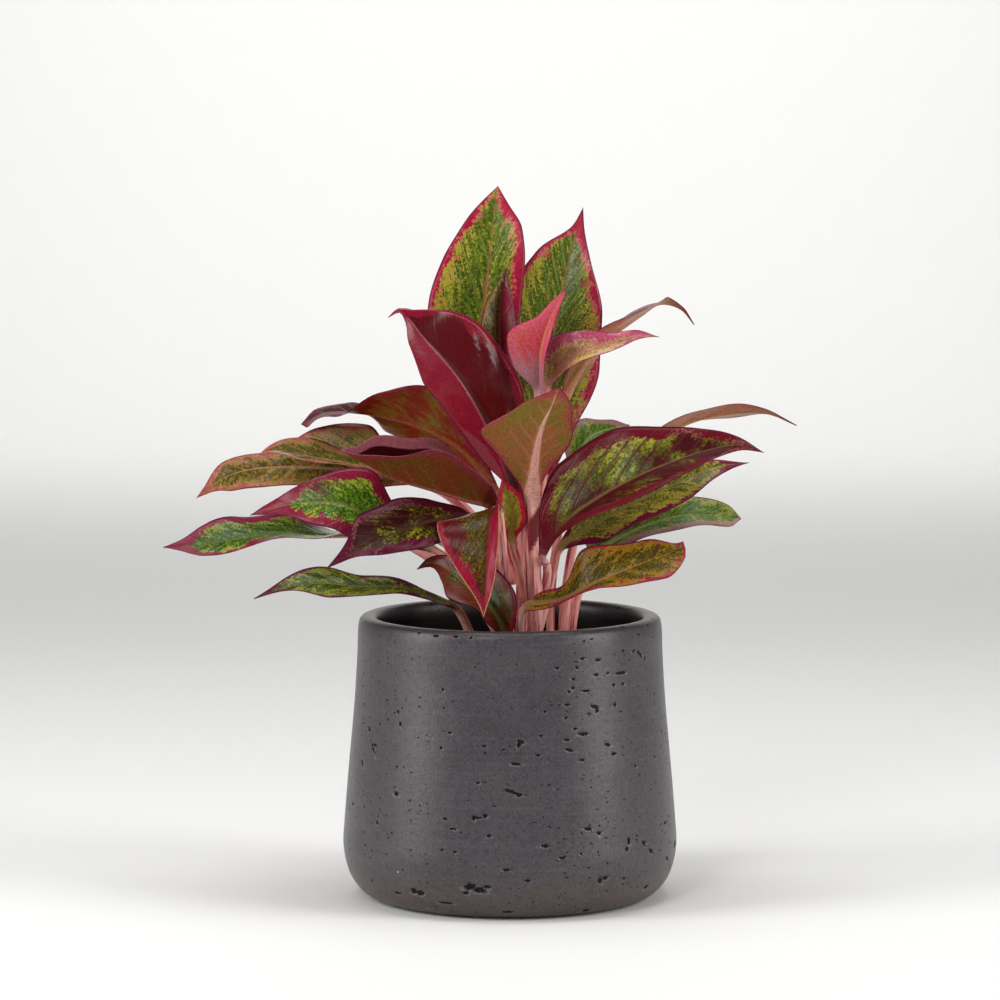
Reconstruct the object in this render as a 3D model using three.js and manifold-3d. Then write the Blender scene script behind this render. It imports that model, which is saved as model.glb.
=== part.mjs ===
// Aglaonema in a rough concrete planter. Millimetres, +Z up, +Y away from the viewer.
// The origin is the middle of the planter's underside, where it stands.
import * as THREE from 'three';
import { mergeVertices } from 'three/addons/utils/BufferGeometryUtils.js';
import Module from 'manifold-3d';

const wasm = await Module();
wasm.setup();

// Driving dimensions
const POT_HEIGHT = 142;
const POT_FOOT_RADIUS = 66; // flat underside
const POT_BELLY_RADIUS = 84.2; // widest, just above the rounded foot
const POT_BELLY_HEIGHT = 27;
const POT_RIM_RADIUS = 76.2;
const POT_MOUTH_RADIUS = 66.7;
const POT_FLOOR = 10; // thickness of the floor
const POT_SIDES = 48;

const GAP = 0.3; // clearance between touching pieces
const NURSERY_FOOT_RADIUS = 44;
const NURSERY_LIP_RADIUS = 60;
const NURSERY_HEIGHT = 108;
const NURSERY_WALL = 1.4;
const NURSERY_SIDES = 40;
const SOIL_LEVEL = 108;
const SOCKET_BOTTOM = 80; // how deep the canes stand in the soil

const PETIOLE_RADIUS = 2.2;
const BLADE_HALF_THICKNESS = 0.45;
const TIP_RADIUS = 0.3;
const PETIOLE_STEP = 13; // length between two rings of a leaf stalk
const RING_SIDES = 8;
// Places along a blade, as shares of its length, where its half width is given
const OUTLINE_AT = [0, 0.08, 0.25, 0.45, 0.65, 0.82, 0.93, 1];
// Places along a blade where its solid has a ring
const BLADE_RINGS = [0.03, 0.08, 0.16, 0.25, 0.35, 0.45, 0.55, 0.65, 0.74, 0.82, 0.88, 0.93, 1];

// Canes: the axis from below the soil to the growing tip, and the radius at both ends
const CANES = {
  main_cane: { axis: [[6, 4, SOCKET_BOTTOM], [7.4, 4, 150], [8.9, 4, 222]], radius: [5, 4] },
  right_cane: { axis: [[23, 8, SOCKET_BOTTOM], [23, 8, 104], [23.5, 8, 128]], radius: [4.4, 3.4] },
  left_cane: { axis: [[-10, -6, SOCKET_BOTTOM], [-10, -6, 100], [-10.5, -6, 118]], radius: [4, 3.2] },
  young_sheath: { axis: [[14, -16, SOCKET_BOTTOM], [14, -16, 110], [13, -16, 141]], radius: [2.4, 0.8] },
};

// Leaves. stalk runs from the cane to the blade's base, rib from there to the tip. left and right are
// the half widths in mm at OUTLINE_AT without its ends, seen from above the upper side with the tip
// away. face is where the upper side looks, and fold is the rise of each half in degrees, left and
// right. Both may be given more than once, evenly spaced from base to tip.
const LEAVES = {
  crown_left: {
    stalk: [[2.5, 7.3, 196], [-5, 8, 219]],
    rib: [[-14, 8, 242], [-15, 4, 270], [-13, 3, 298], [-10, 5, 323], [-8, 9, 343], [-6, 14, 357]],
    left: [12, 24, 28, 23.5, 14.5, 6], right: [10, 17, 19, 18.5, 15, 6],
    face: [[0, -1, 0.3]], fold: [[8, 10]],
  },
  crown_right: {
    stalk: [[11.3, 10.2, 168], [12, 11.5, 184]],
    rib: [[12, 12, 199], [16, 11, 222], [19, 10, 250], [21, 10, 275], [25, 12, 297], [31, 18, 325],
      [37, 26, 346]],
    left: [6, 15, 25, 26, 16.5, 2.5], right: [6, 15, 25, 22, 11, 3.5],
    face: [[0.2, -1, 0.3], [0.1, -1, 0.3], [-0.2, -1, 0.3]], fold: [[8, 4]],
  },
  young_spear: {
    stalk: [[8.9, 4, 223.2], [6, 2, 236]],
    rib: [[-3, -4, 251], [-5, -6, 276], [-5, -6, 296], [-2, -3, 316]],
    left: [4, 10, 13, 11, 6, 2], right: [4, 10, 13, 11, 6, 2],
    face: [[0, -1, 0.2]], fold: [[40, 40]],
  },
  young_pink: {
    stalk: [[8.6, -2.5, 208], [9, -15, 232]],
    rib: [[14, -29, 254], [15, -33, 276], [20, -29, 293], [28, -18, 307]],
    left: [3, 13, 18, 7, 3.5, 1.5], right: [3, 5, 7, 6, 4, 1.5],
    face: [[-0.2, -0.9, 0.3]], fold: [[10, 50]],
  },
  upper_right_long_tip: {
    stalk: [[14.7, 1.6, 198], [19, -3, 226]],
    rib: [[26, -9, 248], [38, -8, 270], [52, 1, 283], [66, 15, 292], [77, 30, 297], [87, 36, 294],
      [94, 40, 286]],
    left: [4, 9, 12, 11, 5, 1.5], right: [4, 9, 12, 11, 5, 1.5],
    face: [[-0.5, 0.8, 0.3], [0, 0.45, 0.9], [0, 0.2, 1]], fold: [[15, 15]],
  },
  upper_right: {
    stalk: [[11.6, -1.8, 190], [15, -10, 222]],
    rib: [[18, -21, 257], [24, -26, 267], [34, -31, 276], [49, -28, 281], [64, -22, 284],
      [74, -18, 283]],
    left: [11, 15, 9.5, 5, 3, 1], right: [3, 6, 9, 8, 4, 1.2],
    face: [[0, -0.9, 0.5]], fold: [[10, 35]],
  },
  big_red_left: {
    stalk: [[5.4, -2.5, 165], [6, -9, 182]],
    rib: [[5, -18, 198], [-2, -22, 219], [-9, -26, 236], [-22, -34, 260], [-32, -38, 273],
      [-43, -42, 285], [-49, -44, 293], [-54, -44, 297], [-60, -46, 294]],
    left: [2, 11, 15, 17, 9, 1.5], right: [6, 15, 25, 26, 18, 3],
    face: [[0.1, -1, 0.2], [0, -1, 0.3], [-0.1, -1, 0.6]], fold: [[8, -4]],
  },
  front_underside: {
    stalk: [[11, -3.9, 124], [12.4, -12.5, 145], [11.6, -17.8, 165], [11, -19.8, 184]],
    rib: [[11, -22, 202], [12, -36, 221], [15, -58, 240], [20, -76, 253], [23, -92, 263]],
    left: [3, 10, 17, 14, 9, 4], right: [5, 17, 29, 17, 10, 4],
    face: [[0, 0.65, 0.75]], fold: [[8, 8]], stalkRadius: 4.1,
  },
  left_upper_arch: {
    stalk: [[1.2, 2.9, 172], [-3, 2, 188]],
    rib: [[-7, 2, 204], [-24, 2, 225], [-45, 6, 236], [-63, 10, 241], [-81, 16, 243], [-94, 22, 242],
      [-106, 28, 236]],
    left: [3, 8, 24, 15, 9, 9], right: [4, 10, 15, 15, 8, 8],
    face: [[0, 0.85, 0.5], [0, 0.85, 0.5], [0, 0.85, 0.5], [0, 0.7, 0.7], [0, 0, 1], [0, -0.4, 0.9]],
    fold: [[5, 10], [5, 10], [5, 10], [5, 10], [-10, 25], [-10, 15]],
  },
  left_second: {
    stalk: [[1.9, 0, 158], [-3, -6, 178]],
    rib: [[-6, -16, 196], [-22, -30, 203], [-39, -40, 209], [-57, -48, 215], [-71, -54, 223],
      [-83, -58, 230]],
    left: [8, 15, 20, 18, 10, 3], right: [8, 22, 29, 24, 18, 6],
    face: [[0, 0.3, 0.95]], fold: [[60, 75], [55, 75], [5, 80]],
  },
  left_long_orange: {
    stalk: [[1.2, 7.5, 146], [-13, 11, 178], [-30, 13, 200]],
    rib: [[-48, 14, 208], [-71, 16, 211], [-91, 18, 214], [-114, 20, 215], [-134, 22, 213],
      [-147, 22, 208], [-159, 20, 199]],
    left: [4, 9, 11, 11, 9.5, 3], right: [8, 26, 21, 7.5, 8, 2.5],
    face: [[0, -0.9, 0.4]], fold: [[10, 5]],
  },
  left_salmon_tip: {
    stalk: [[0.8, 4, 161], [-10, 3, 180], [-25, 3, 198]],
    rib: [[-43, 2, 208], [-65, 2, 215], [-81, 2, 218], [-103, 2, 222], [-118, 0, 225],
      [-126, 0, 223]],
    left: [4, 8, 9, 8, 14, 6], right: [5, 9, 12, 18, 14, 6],
    face: [[0, -0.35, 0.94]], fold: [[15, 5]],
  },
  left_mid: {
    stalk: [[0.7, 1.6, 134], [-11, -5, 153], [-25, -11, 167]],
    rib: [[-39, -16, 177], [-55, -20, 187], [-71, -25, 195], [-85, -28, 201], [-106, -28, 201],
      [-129, -28, 195]],
    left: [5, 15, 16, 13.5, 6, 2], right: [4, 9.5, 22, 13, 5.5, 2.5],
    face: [[0, -0.9, 0.5]], fold: [[5, 5]],
  },
  left_low_long: {
    stalk: [[-0.2, 4.6, 122], [-18, 0, 150], [-40, -5, 171]],
    rib: [[-62, -6, 182], [-97, -9, 183], [-114, -12, 185], [-134, -15, 182], [-154, -17, 179],
      [-173, -18, 178]],
    left: [5, 12, 13, 12, 9.5, 3], right: [6, 15, 17, 17.5, 11.5, 3.5],
    face: [[0, 0.3, 0.95], [0, -0.4, 0.9], [0, -0.75, 0.65]], fold: [[12, 5]],
  },
  left_front_dark: {
    stalk: [[2, -0.9, 122], [-8, -10, 148], [-15, -20, 173]],
    rib: [[-18, -28, 193], [-35, -38, 194], [-54, -49, 189], [-72, -56, 182], [-90, -60, 172]],
    left: [6, 14, 17, 10.5, 4, 1.5], right: [6, 15, 20, 18.5, 7, 2.5],
    face: [[-0.1, -0.7, 0.7]], fold: [[5, 5]],
  },
  front_centre_red: {
    stalk: [[4, -2.2, 136], [-2, -13, 158], [-4, -26, 183]],
    rib: [[-6, -37, 199], [-9, -50, 197], [-11, -60, 182], [-12, -63, 165], [-13, -63, 148]],
    left: [3, 6, 7, 6, 4, 1.5], right: [10, 27, 23.5, 15, 6.5, 2],
    face: [[-0.3, 0, 1], [-0.2, -1, 0.3], [-0.2, -1, 0.2]], fold: [[30, 5]],
  },
  centre_small: {
    stalk: [[7.2, -3, 150], [4.5, -9, 166]],
    rib: [[1, -18, 181], [1, -23, 196], [-4, -26, 213]],
    left: [2, 6, 8, 8, 5, 2], right: [2, 6, 8, 8, 5, 2],
    face: [[0, -1, 0.2]], fold: [[30, 30]],
  },
  left_lowest: {
    stalk: [[-12.1, -11.6, 110], [-19, -16, 132]],
    rib: [[-27, -22, 148], [-36, -28, 153], [-55, -34, 160], [-74, -42, 161], [-94, -46, 163],
      [-111, -50, 161], [-126, -50, 156]],
    left: [4, 5, 10, 13.5, 4.5, 1.5], right: [4, 5, 8.5, 13, 8, 3],
    face: [[0, -0.5, 0.9]], fold: [[5, 5]],
  },
  left_small_low: {
    stalk: [[-6, -9.6, 113]],
    rib: [[-2, -18, 131], [-8, -26, 147], [-20, -34, 159], [-31, -40, 169], [-39, -44, 173],
      [-46, -46, 170]],
    left: [3, 7.5, 8.5, 13, 6, 2], right: [5, 15, 18, 12, 6, 2],
    face: [[0, -0.8, 0.6]], fold: [[5, 5]],
  },
  right_big: {
    stalk: [[12, -0.8, 140], [17.5, -9, 156], [18.5, -18, 168]],
    rib: [[16, -28, 175], [26, -32, 191], [44, -38, 205], [66, -40, 217], [94, -36, 227],
      [113, -30, 230], [126, -26, 226]],
    left: [8, 27, 28, 19.5, 9.5, 2.5], right: [3, 12, 20, 16, 9, 3],
    face: [[-0.2, -0.9, 0.5]], fold: [[5, 35]],
  },
  right_second: {
    stalk: [[14.3, 4, 132], [19, 1, 152], [22, -5, 167]],
    rib: [[25, -12, 177], [50, -18, 194], [80, -20, 209], [102, -18, 218], [119, -14, 220]],
    left: [5, 14, 16, 12, 5, 1.5], right: [5, 12, 12.5, 12, 6.5, 2],
    face: [[0, -0.8, 0.6]], fold: [[5, 5]],
  },
  right_third: {
    stalk: [[26.2, 2.5, 116], [28, 1, 138], [31, 1, 155]],
    rib: [[38, 0, 169], [60, -4, 184], [88, -6, 193], [116, -4, 191]],
    left: [6, 16, 16, 13, 10, 7], right: [4, 7.5, 8, 9, 7.5, 6.5],
    face: [[0, -0.7, 0.7]], fold: [[5, 5]],
  },
  right_low: {
    stalk: [[6.6, -2.7, 113], [6, -16, 125], [5, -27, 140]],
    rib: [[8, -34, 150], [25, -44, 155], [44, -50, 165], [69, -50, 175], [82, -48, 180],
      [85, -48, 184]],
    left: [6, 8, 20, 15.5, 11.5, 5.5], right: [5, 2.5, 4.5, 11, 14.5, 8.5],
    face: [[0, -0.75, 0.7]], fold: [[5, 5]],
  },
  right_back_tip: {
    stalk: [[26.1, 13.5, 122], [28, 17, 150], [36, 23, 188]],
    rib: [[51, 28, 211], [71, 34, 225], [92, 42, 236], [113, 46, 240], [132, 48, 240], [147, 48, 234]],
    left: [4, 9, 12, 10, 5, 1.5], right: [4, 9, 12, 10, 5, 1.5],
    face: [[0, 0.4, 0.9]], fold: [[10, 10]],
  },
  back_small: {
    stalk: [[20.9, 13.8, 118], [21, 20, 150], [25, 29, 182]],
    rib: [[32, 38, 209], [40, 44, 227], [48, 50, 231], [62, 62, 233]],
    left: [3, 9, 11, 8, 5, 2], right: [3, 9, 11, 8, 5, 2],
    face: [[0.2, -0.5, 0.7]], fold: [[10, 10]],
  },
  back_green: {
    stalk: [[7.4, 11, 142], [11, 18, 157]],
    rib: [[13, 29, 168], [18, 48, 186], [24, 66, 202], [31, 84, 216]],
    left: [5, 13, 16, 13, 7, 2], right: [5, 13, 16, 13, 7, 2],
    face: [[-0.5, -0.6, 0.6]], fold: [[10, 10]],
  },
  back_upper: {
    stalk: [[5.6, 10.4, 178], [3, 20, 202]],
    rib: [[4, 32, 222], [8, 50, 243], [12, 74, 252], [15, 100, 247], [16, 118, 236]],
    left: [8, 20, 24, 19, 10, 3], right: [8, 20, 24, 19, 10, 3],
    face: [[0, -0.5, 0.9]], fold: [[12, 12]],
  },
  back_left: {
    stalk: [[2.8, 8.2, 170], [-8, 20, 190]],
    rib: [[-18, 32, 205], [-34, 50, 218], [-52, 70, 222], [-70, 88, 214], [-78, 98, 206]],
    left: [7, 18, 21, 17, 9, 3], right: [7, 18, 21, 17, 9, 3],
    face: [[0, 0, 1]], fold: [[12, 12]],
  },
  back_right: {
    stalk: [[29.1, 10.2, 110], [34, 18, 148]],
    rib: [[42, 30, 168], [54, 46, 182], [66, 64, 187], [80, 84, 182]],
    left: [6, 16, 19, 15, 8, 3], right: [6, 16, 19, 15, 8, 3],
    face: [[0, 0, 1]], fold: [[12, 12]],
  },
  back_low_left: {
    stalk: [[2.5, 9.2, 128], [-10, 22, 150]],
    rib: [[-24, 34, 166], [-44, 48, 180], [-64, 60, 186], [-82, 70, 182], [-90, 74, 177]],
    left: [6, 16, 19, 15, 8, 3], right: [6, 16, 19, 15, 8, 3],
    face: [[0, 0, 1]], fold: [[12, 12]],
  },
  back_low_centre: {
    stalk: [[6.1, 11, 118], [8, 26, 145]],
    rib: [[9, 40, 160], [10, 60, 172], [9, 82, 174], [8, 100, 164]],
    left: [5, 12, 14, 12, 7, 2.5], right: [5, 12, 14, 12, 7, 2.5],
    face: [[0, -0.1, 1]], fold: [[12, 12]],
  },
};

const CONCRETE = { color: '#5e5759', roughness: 0.85, metalness: 0 };
const BLACK_PLASTIC = { color: '#1d1d1e', roughness: 0.5, metalness: 0 };
const SOIL = { color: '#2f221a', roughness: 1, metalness: 0 };
const CANE_SKIN = { color: '#d79a92', roughness: 0.5, metalness: 0 };
const LEAF_SKIN = { color: '#8a2a3a', roughness: 0.38, metalness: 0 };

const plant = new THREE.Group();

function addPiece(name, geometry, finish) {
  const mesh = new THREE.Mesh(geometry, new THREE.MeshStandardMaterial(finish));
  mesh.name = name;
  plant.add(mesh);
}

const vector = (values) => new THREE.Vector3(...values);

// One turned body from its half section, which runs from the axis round to the axis, +Z up
function turned(profile, sides) {
  const points = profile.map(([radius, height]) => new THREE.Vector2(radius, height));
  const geometry = new THREE.LatheGeometry(points, sides);
  geometry.rotateX(Math.PI / 2);
  return onlyPositions(geometry);
}

function onlyPositions(geometry) {
  geometry.deleteAttribute('normal');
  geometry.deleteAttribute('uv');
  return mergeVertices(geometry, 1e-4);
}

function toSolid(geometry) {
  const mesh = new wasm.Mesh({
    numProp: 3,
    vertProperties: geometry.attributes.position.array,
    triVerts: new Uint32Array(geometry.index.array),
  });
  return new wasm.Manifold(mesh);
}

function toGeometry(solid) {
  const mesh = solid.getMesh();
  const geometry = new THREE.BufferGeometry();
  geometry.setAttribute('position', new THREE.BufferAttribute(mesh.vertProperties, 3));
  geometry.setIndex(new THREE.BufferAttribute(mesh.triVerts, 1));
  return geometry;
}

// One closed skin over rings that have the same number of points, with flat ends. The second half of
// each ring is split the other way, so that both faces of a thin blade bend along the same lines
function loft(rings) {
  const sides = rings[0].length;
  const index = [];
  for (let row = 0; row < rings.length - 1; row += 1) {
    for (let k = 0; k < sides; k += 1) {
      const a = row * sides + k;
      const b = row * sides + ((k + 1) % sides);
      if (k < sides / 2) index.push(a, a + sides, b + sides, a, b + sides, b);
      else index.push(a, a + sides, b, b, a + sides, b + sides);
    }
  }
  const last = (rings.length - 1) * sides;
  for (let k = 1; k < sides - 1; k += 1) {
    index.push(0, k, k + 1, last, last + k + 1, last + k);
  }
  const geometry = new THREE.BufferGeometry();
  const places = rings.flat().flatMap((point) => point.toArray());
  geometry.setAttribute('position', new THREE.Float32BufferAttribute(places, 3));
  geometry.setIndex(index);
  return geometry;
}

// Value or vector at a share of the way through an evenly spaced list, eased between its entries
function mixed(list, share) {
  const at = THREE.MathUtils.clamp(share, 0, 1) * (list.length - 1);
  const first = Math.min(Math.floor(at), Math.max(list.length - 2, 0));
  const next = Math.min(first + 1, list.length - 1);
  const part = at - first;
  const eased = part * part * (3 - 2 * part);
  return list[first].map((value, axis) => THREE.MathUtils.lerp(value, list[next][axis], eased));
}

// Half width at a share of the blade's length: a smooth curve through the given half widths
function halfWidth(widths, share) {
  const at = OUTLINE_AT;
  const value = [0, ...widths, 0];
  const last = at.length - 1;
  if (share <= 0 || share >= 1) return 0;
  const slope = (j) => {
    if (j === 0) return (1.5 * value[1]) / at[1];
    if (j === last) return -value[last - 1] / (1 - at[last - 1]);
    const before = (value[j] - value[j - 1]) / (at[j] - at[j - 1]);
    const after = (value[j + 1] - value[j]) / (at[j + 1] - at[j]);
    return before * after <= 0 ? 0 : (2 * before * after) / (before + after);
  };
  const i = at.findIndex((place, j) => j < last && share < at[j + 1]);
  const step = at[i + 1] - at[i];
  const w = (share - at[i]) / step;
  const rise = (w ** 3 - 2 * w * w + w) * slope(i) + (w ** 3 - w * w) * slope(i + 1);
  const level = (2 * w ** 3 - 3 * w * w + 1) * value[i] + (3 * w * w - 2 * w ** 3) * value[i + 1];
  return Math.max(0, level + rise * step);
}

// A round tapered cane along its axis
function caneSolid({ axis, radius }) {
  const curve = new THREE.CatmullRomCurve3(axis.map(vector), false, 'centripetal');
  const rows = 8;
  const rings = [];
  for (let row = 0; row <= rows; row += 1) {
    const centre = curve.getPointAt(row / rows);
    const r = THREE.MathUtils.lerp(radius[0], radius[1], row / rows);
    rings.push(
      Array.from({ length: 12 }, (_, k) => {
        const angle = (-2 * Math.PI * k) / 12;
        return new THREE.Vector3(r * Math.cos(angle), r * Math.sin(angle), 0).add(centre);
      }),
    );
  }
  return loft(rings);
}

// A stalk and its blade in one skin: an octagon that widens into a thin folded blade
function leafSolid(leaf) {
  const { stalk, rib, left, right, face, fold, stalkRadius = PETIOLE_RADIUS } = leaf;
  const points = [...stalk, ...rib].map(vector);
  const curve = new THREE.CatmullRomCurve3(points, false, 'centripetal');
  const lengths = curve.getLengths(300);
  const total = lengths[300];
  const stalkLength = lengths[Math.round((300 * stalk.length) / (points.length - 1))];
  const bladeLength = total - stalkLength;

  const ringAt = (along) => {
    const share = THREE.MathUtils.clamp((along - stalkLength) / bladeLength, 0, 1);
    const place = Math.min(along / total, 1);
    const centre = curve.getPointAt(place);
    const forward = curve.getTangentAt(place);
    const up = vector(mixed(face, share));
    up.addScaledVector(forward, -up.dot(forward)).normalize();
    const side = new THREE.Vector3().crossVectors(forward, up);
    const ribRadius = THREE.MathUtils.lerp(stalkRadius, TIP_RADIUS, Math.min(1, 1.25 * share));
    const open = THREE.MathUtils.smoothstep(share, 0, 0.1);
    const rise = mixed(fold, share);
    return Array.from({ length: RING_SIDES }, (_, k) => {
      const angle = (2 * Math.PI * k) / RING_SIDES;
      const across = Math.cos(angle);
      const toRight = across > 0 ? 1 : 0;
      const reach = (Math.abs(across) > 0.9 ? 1 : 0.5) * (Math.abs(across) > 0.1 ? 1 : 0);
      const distance = reach * halfWidth(toRight ? right : left, share);
      const tilt = THREE.MathUtils.degToRad(rise[toRight]);
      const away = Math.max(distance * Math.cos(tilt), ribRadius * Math.abs(across));
      const thickness = reach === 0 ? ribRadius : BLADE_HALF_THICKNESS * (reach < 1 ? 1 : 0);
      const bladeRise = distance * Math.sin(tilt) + Math.sign(Math.sin(angle)) * thickness;
      const height = THREE.MathUtils.lerp(stalkRadius * Math.sin(angle), bladeRise, open);
      return centre
        .clone()
        .addScaledVector(side, Math.sign(Math.round(across * 10)) * away)
        .addScaledVector(up, height);
    });
  };

  const stalkRows = Math.max(3, Math.ceil(stalkLength / PETIOLE_STEP));
  const places = Array.from({ length: stalkRows + 1 }, (_, row) => (row * stalkLength) / stalkRows);
  BLADE_RINGS.forEach((share) => places.push(stalkLength + share * bladeLength));
  return loft(places.map(ringAt));
}

// The planter: one cast shell with a rounded foot, a straight taper and a soft rim
const potProfile = [
  [0, 0], [POT_FOOT_RADIUS, 0], [70.5, 1], [75.5, 4.2], [80, 10], [82.8, 17.5],
  [POT_BELLY_RADIUS, POT_BELLY_HEIGHT], [83.6, 38], [82, 58], [80.2, 78], [78.4, 98], [76.9, 122],
  [POT_RIM_RADIUS, 137.5], [75.4, 140.6], [73.4, POT_HEIGHT], [69.2, POT_HEIGHT], [67.4, 140.9],
  [POT_MOUTH_RADIUS, 138.5], [68.2, 118], [70.8, 78], [73, 40], [72.4, 24], [69, 14],
  [62, POT_FLOOR], [0, POT_FLOOR],
];
addPiece('concrete_pot', turned(potProfile, POT_SIDES), CONCRETE);

// The thin grower's pot stands on the planter's floor
const nurseryBase = POT_FLOOR + GAP;
const nurseryTop = nurseryBase + NURSERY_HEIGHT;
const nurseryInner = NURSERY_LIP_RADIUS - 3.4;
const nurseryProfile = [
  [0, nurseryBase], [NURSERY_FOOT_RADIUS, nurseryBase], [nurseryInner, nurseryTop - 7],
  [NURSERY_LIP_RADIUS, nurseryTop - 7], [NURSERY_LIP_RADIUS, nurseryTop],
  [nurseryInner, nurseryTop], [nurseryInner - NURSERY_WALL, nurseryTop - 7],
  [NURSERY_FOOT_RADIUS - NURSERY_WALL, nurseryBase + NURSERY_WALL], [0, nurseryBase + NURSERY_WALL],
];
addPiece('nursery_pot', turned(nurseryProfile, NURSERY_SIDES), BLACK_PLASTIC);

// The soil fills it, with a socket round each cane
const soilFloor = nurseryBase + NURSERY_WALL + GAP;
const wallSlope = (nurseryInner - NURSERY_FOOT_RADIUS) / (nurseryTop - 7 - nurseryBase);
const soilRadius = (height) =>
  NURSERY_FOOT_RADIUS - NURSERY_WALL - 2 * GAP + wallSlope * (height - nurseryBase);
const soilProfile = [
  [0, soilFloor], [soilRadius(soilFloor), soilFloor], [soilRadius(SOIL_LEVEL), SOIL_LEVEL],
  [0, SOIL_LEVEL],
];
let soil = toSolid(turned(soilProfile, NURSERY_SIDES));
for (const { axis, radius } of Object.values(CANES)) {
  const [x, y] = axis[0];
  const socket = new THREE.CylinderGeometry(radius[0] + 2 * GAP, radius[0] + 2 * GAP, 60, 16);
  socket.rotateX(Math.PI / 2);
  socket.translate(x, y, SOCKET_BOTTOM - GAP + 30);
  soil = soil.subtract(toSolid(onlyPositions(socket)));
}
addPiece('potting_soil', toGeometry(soil), SOIL);

for (const [name, cane] of Object.entries(CANES)) {
  addPiece(name, caneSolid(cane), CANE_SKIN);
}
for (const [name, leaf] of Object.entries(LEAVES)) {
  addPiece(`leaf_${name}`, leafSolid(leaf), LEAF_SKIN);
}

export default plant;
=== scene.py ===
"""Aglaonema in a rough concrete planter: its finished looks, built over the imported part."""

import logging
import math
from bisect import bisect_right
from collections.abc import Callable, Sequence
from dataclasses import dataclass, field, replace
from functools import partial
from typing import Any

import bmesh
import bpy
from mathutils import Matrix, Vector, noise


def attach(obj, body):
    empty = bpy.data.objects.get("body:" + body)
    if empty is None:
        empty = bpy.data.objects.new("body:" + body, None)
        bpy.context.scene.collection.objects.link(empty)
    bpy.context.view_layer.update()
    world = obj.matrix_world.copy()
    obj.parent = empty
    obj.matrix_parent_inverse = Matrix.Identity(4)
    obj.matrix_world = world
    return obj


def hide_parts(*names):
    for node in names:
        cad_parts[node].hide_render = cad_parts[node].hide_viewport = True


LOG = logging.getLogger("potted_aglaonema")
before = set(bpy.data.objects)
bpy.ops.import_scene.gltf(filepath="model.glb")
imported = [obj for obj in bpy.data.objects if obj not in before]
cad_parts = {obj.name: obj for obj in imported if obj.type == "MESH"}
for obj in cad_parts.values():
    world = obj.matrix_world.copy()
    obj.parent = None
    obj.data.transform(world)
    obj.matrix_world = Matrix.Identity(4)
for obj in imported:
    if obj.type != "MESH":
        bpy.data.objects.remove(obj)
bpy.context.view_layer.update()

MM = 0.001
BODY = "root"

Place = tuple[float, float, float]
Places = tuple[Place, ...]
Widths = tuple[float, ...]
Socket = bpy.types.NodeSocket
Adder = Callable[..., Socket]
Coat = tuple[Socket, tuple[float, ...], Socket | str]

# Node settings: a mask with a soft edge, and the sums that masks and patterns go through
SOFT = {"interpolation_type": "SMOOTHSTEP"}
BLEND = {"operation": "MULTIPLY_ADD"}
TIMES = {"operation": "MULTIPLY"}
PLUS = {"operation": "ADD"}
MINUS = {"operation": "SUBTRACT"}
LARGER = {"operation": "MAXIMUM"}
FOLDED = {"operation": "PINGPONG"}

# Where a mix node takes its two colours and gives the mixed one
MIX_BELOW, MIX_ABOVE, MIXED = 6, 7, 2

# How far apart the rings are where a cane's old leaves fell, in millimetres
RING_SPACING = 14

# Places along a blade, as shares of its length, where its half widths are given
OUTLINE_AT = (0.0, 0.08, 0.25, 0.45, 0.65, 0.82, 0.93, 1.0)

# What a leaf's mesh carries for its finish: millimetres from the midrib (right is positive), from
# the margin and from the blade's base, the count of side veins passed, which face it is, and how
# near the midrib is
LEAF_VALUES = ("rib", "edge", "along", "vein", "upper", "midrib")


@dataclass(frozen=True)
class Portrait:
    """The viewing angle of the plant's portrait, and its frame of 1000 by 1000 pixels."""

    place: Place = (-5.0, -2200.0, 406.0)
    pitch: float = 5.35
    focal: float = 158.4
    sensor: float = 36.0
    frame: float = 1000.0

    def seen(self, across: float, down: float, y: float) -> Vector:
        """Finds what lies at a pixel.

        Args:
            across: pixels from the frame's left side.
            down: pixels from its top.
            y: how far back the place lies, in millimetres.

        Returns:
            The place in millimetres.
        """
        turn = math.radians(self.pitch)
        pixel = self.sensor / self.focal / self.frame
        up = Vector((0.0, math.sin(turn), math.cos(turn)))
        ray = Vector((0.0, math.cos(turn), -math.sin(turn)))
        ray += Vector(((across - self.frame / 2) * pixel, 0.0, 0.0))
        ray += up * ((self.frame / 2 - down) * pixel)
        return Vector(self.place) + ray * ((y - self.place[1]) / ray.y)


PORTRAIT = Portrait()


def smoothstep(value: float, low: float, high: float) -> float:
    """Eases from 0 at low to 1 at high.

    Args:
        value: where to read the ramp.
        low: the value where the ramp leaves 0.
        high: the value where the ramp reaches 1.

    Returns:
        The eased share.
    """
    share = min(max((value - low) / (high - low), 0.0), 1.0)
    return share * share * (3 - 2 * share)


def linear(hex_colour: str) -> tuple[float, float, float, float]:
    """Turns an sRGB hex colour into linear light.

    Args:
        hex_colour: the colour as "#rrggbb".

    Returns:
        Red, green, blue and full opacity.
    """
    channels = [int(hex_colour[i : i + 2], 16) / 255 for i in (1, 3, 5)]
    lit = [c / 12.92 if c <= 0.04045 else ((c + 0.055) / 1.055) ** 2.4 for c in channels]
    return (lit[0], lit[1], lit[2], 1.0)


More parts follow.
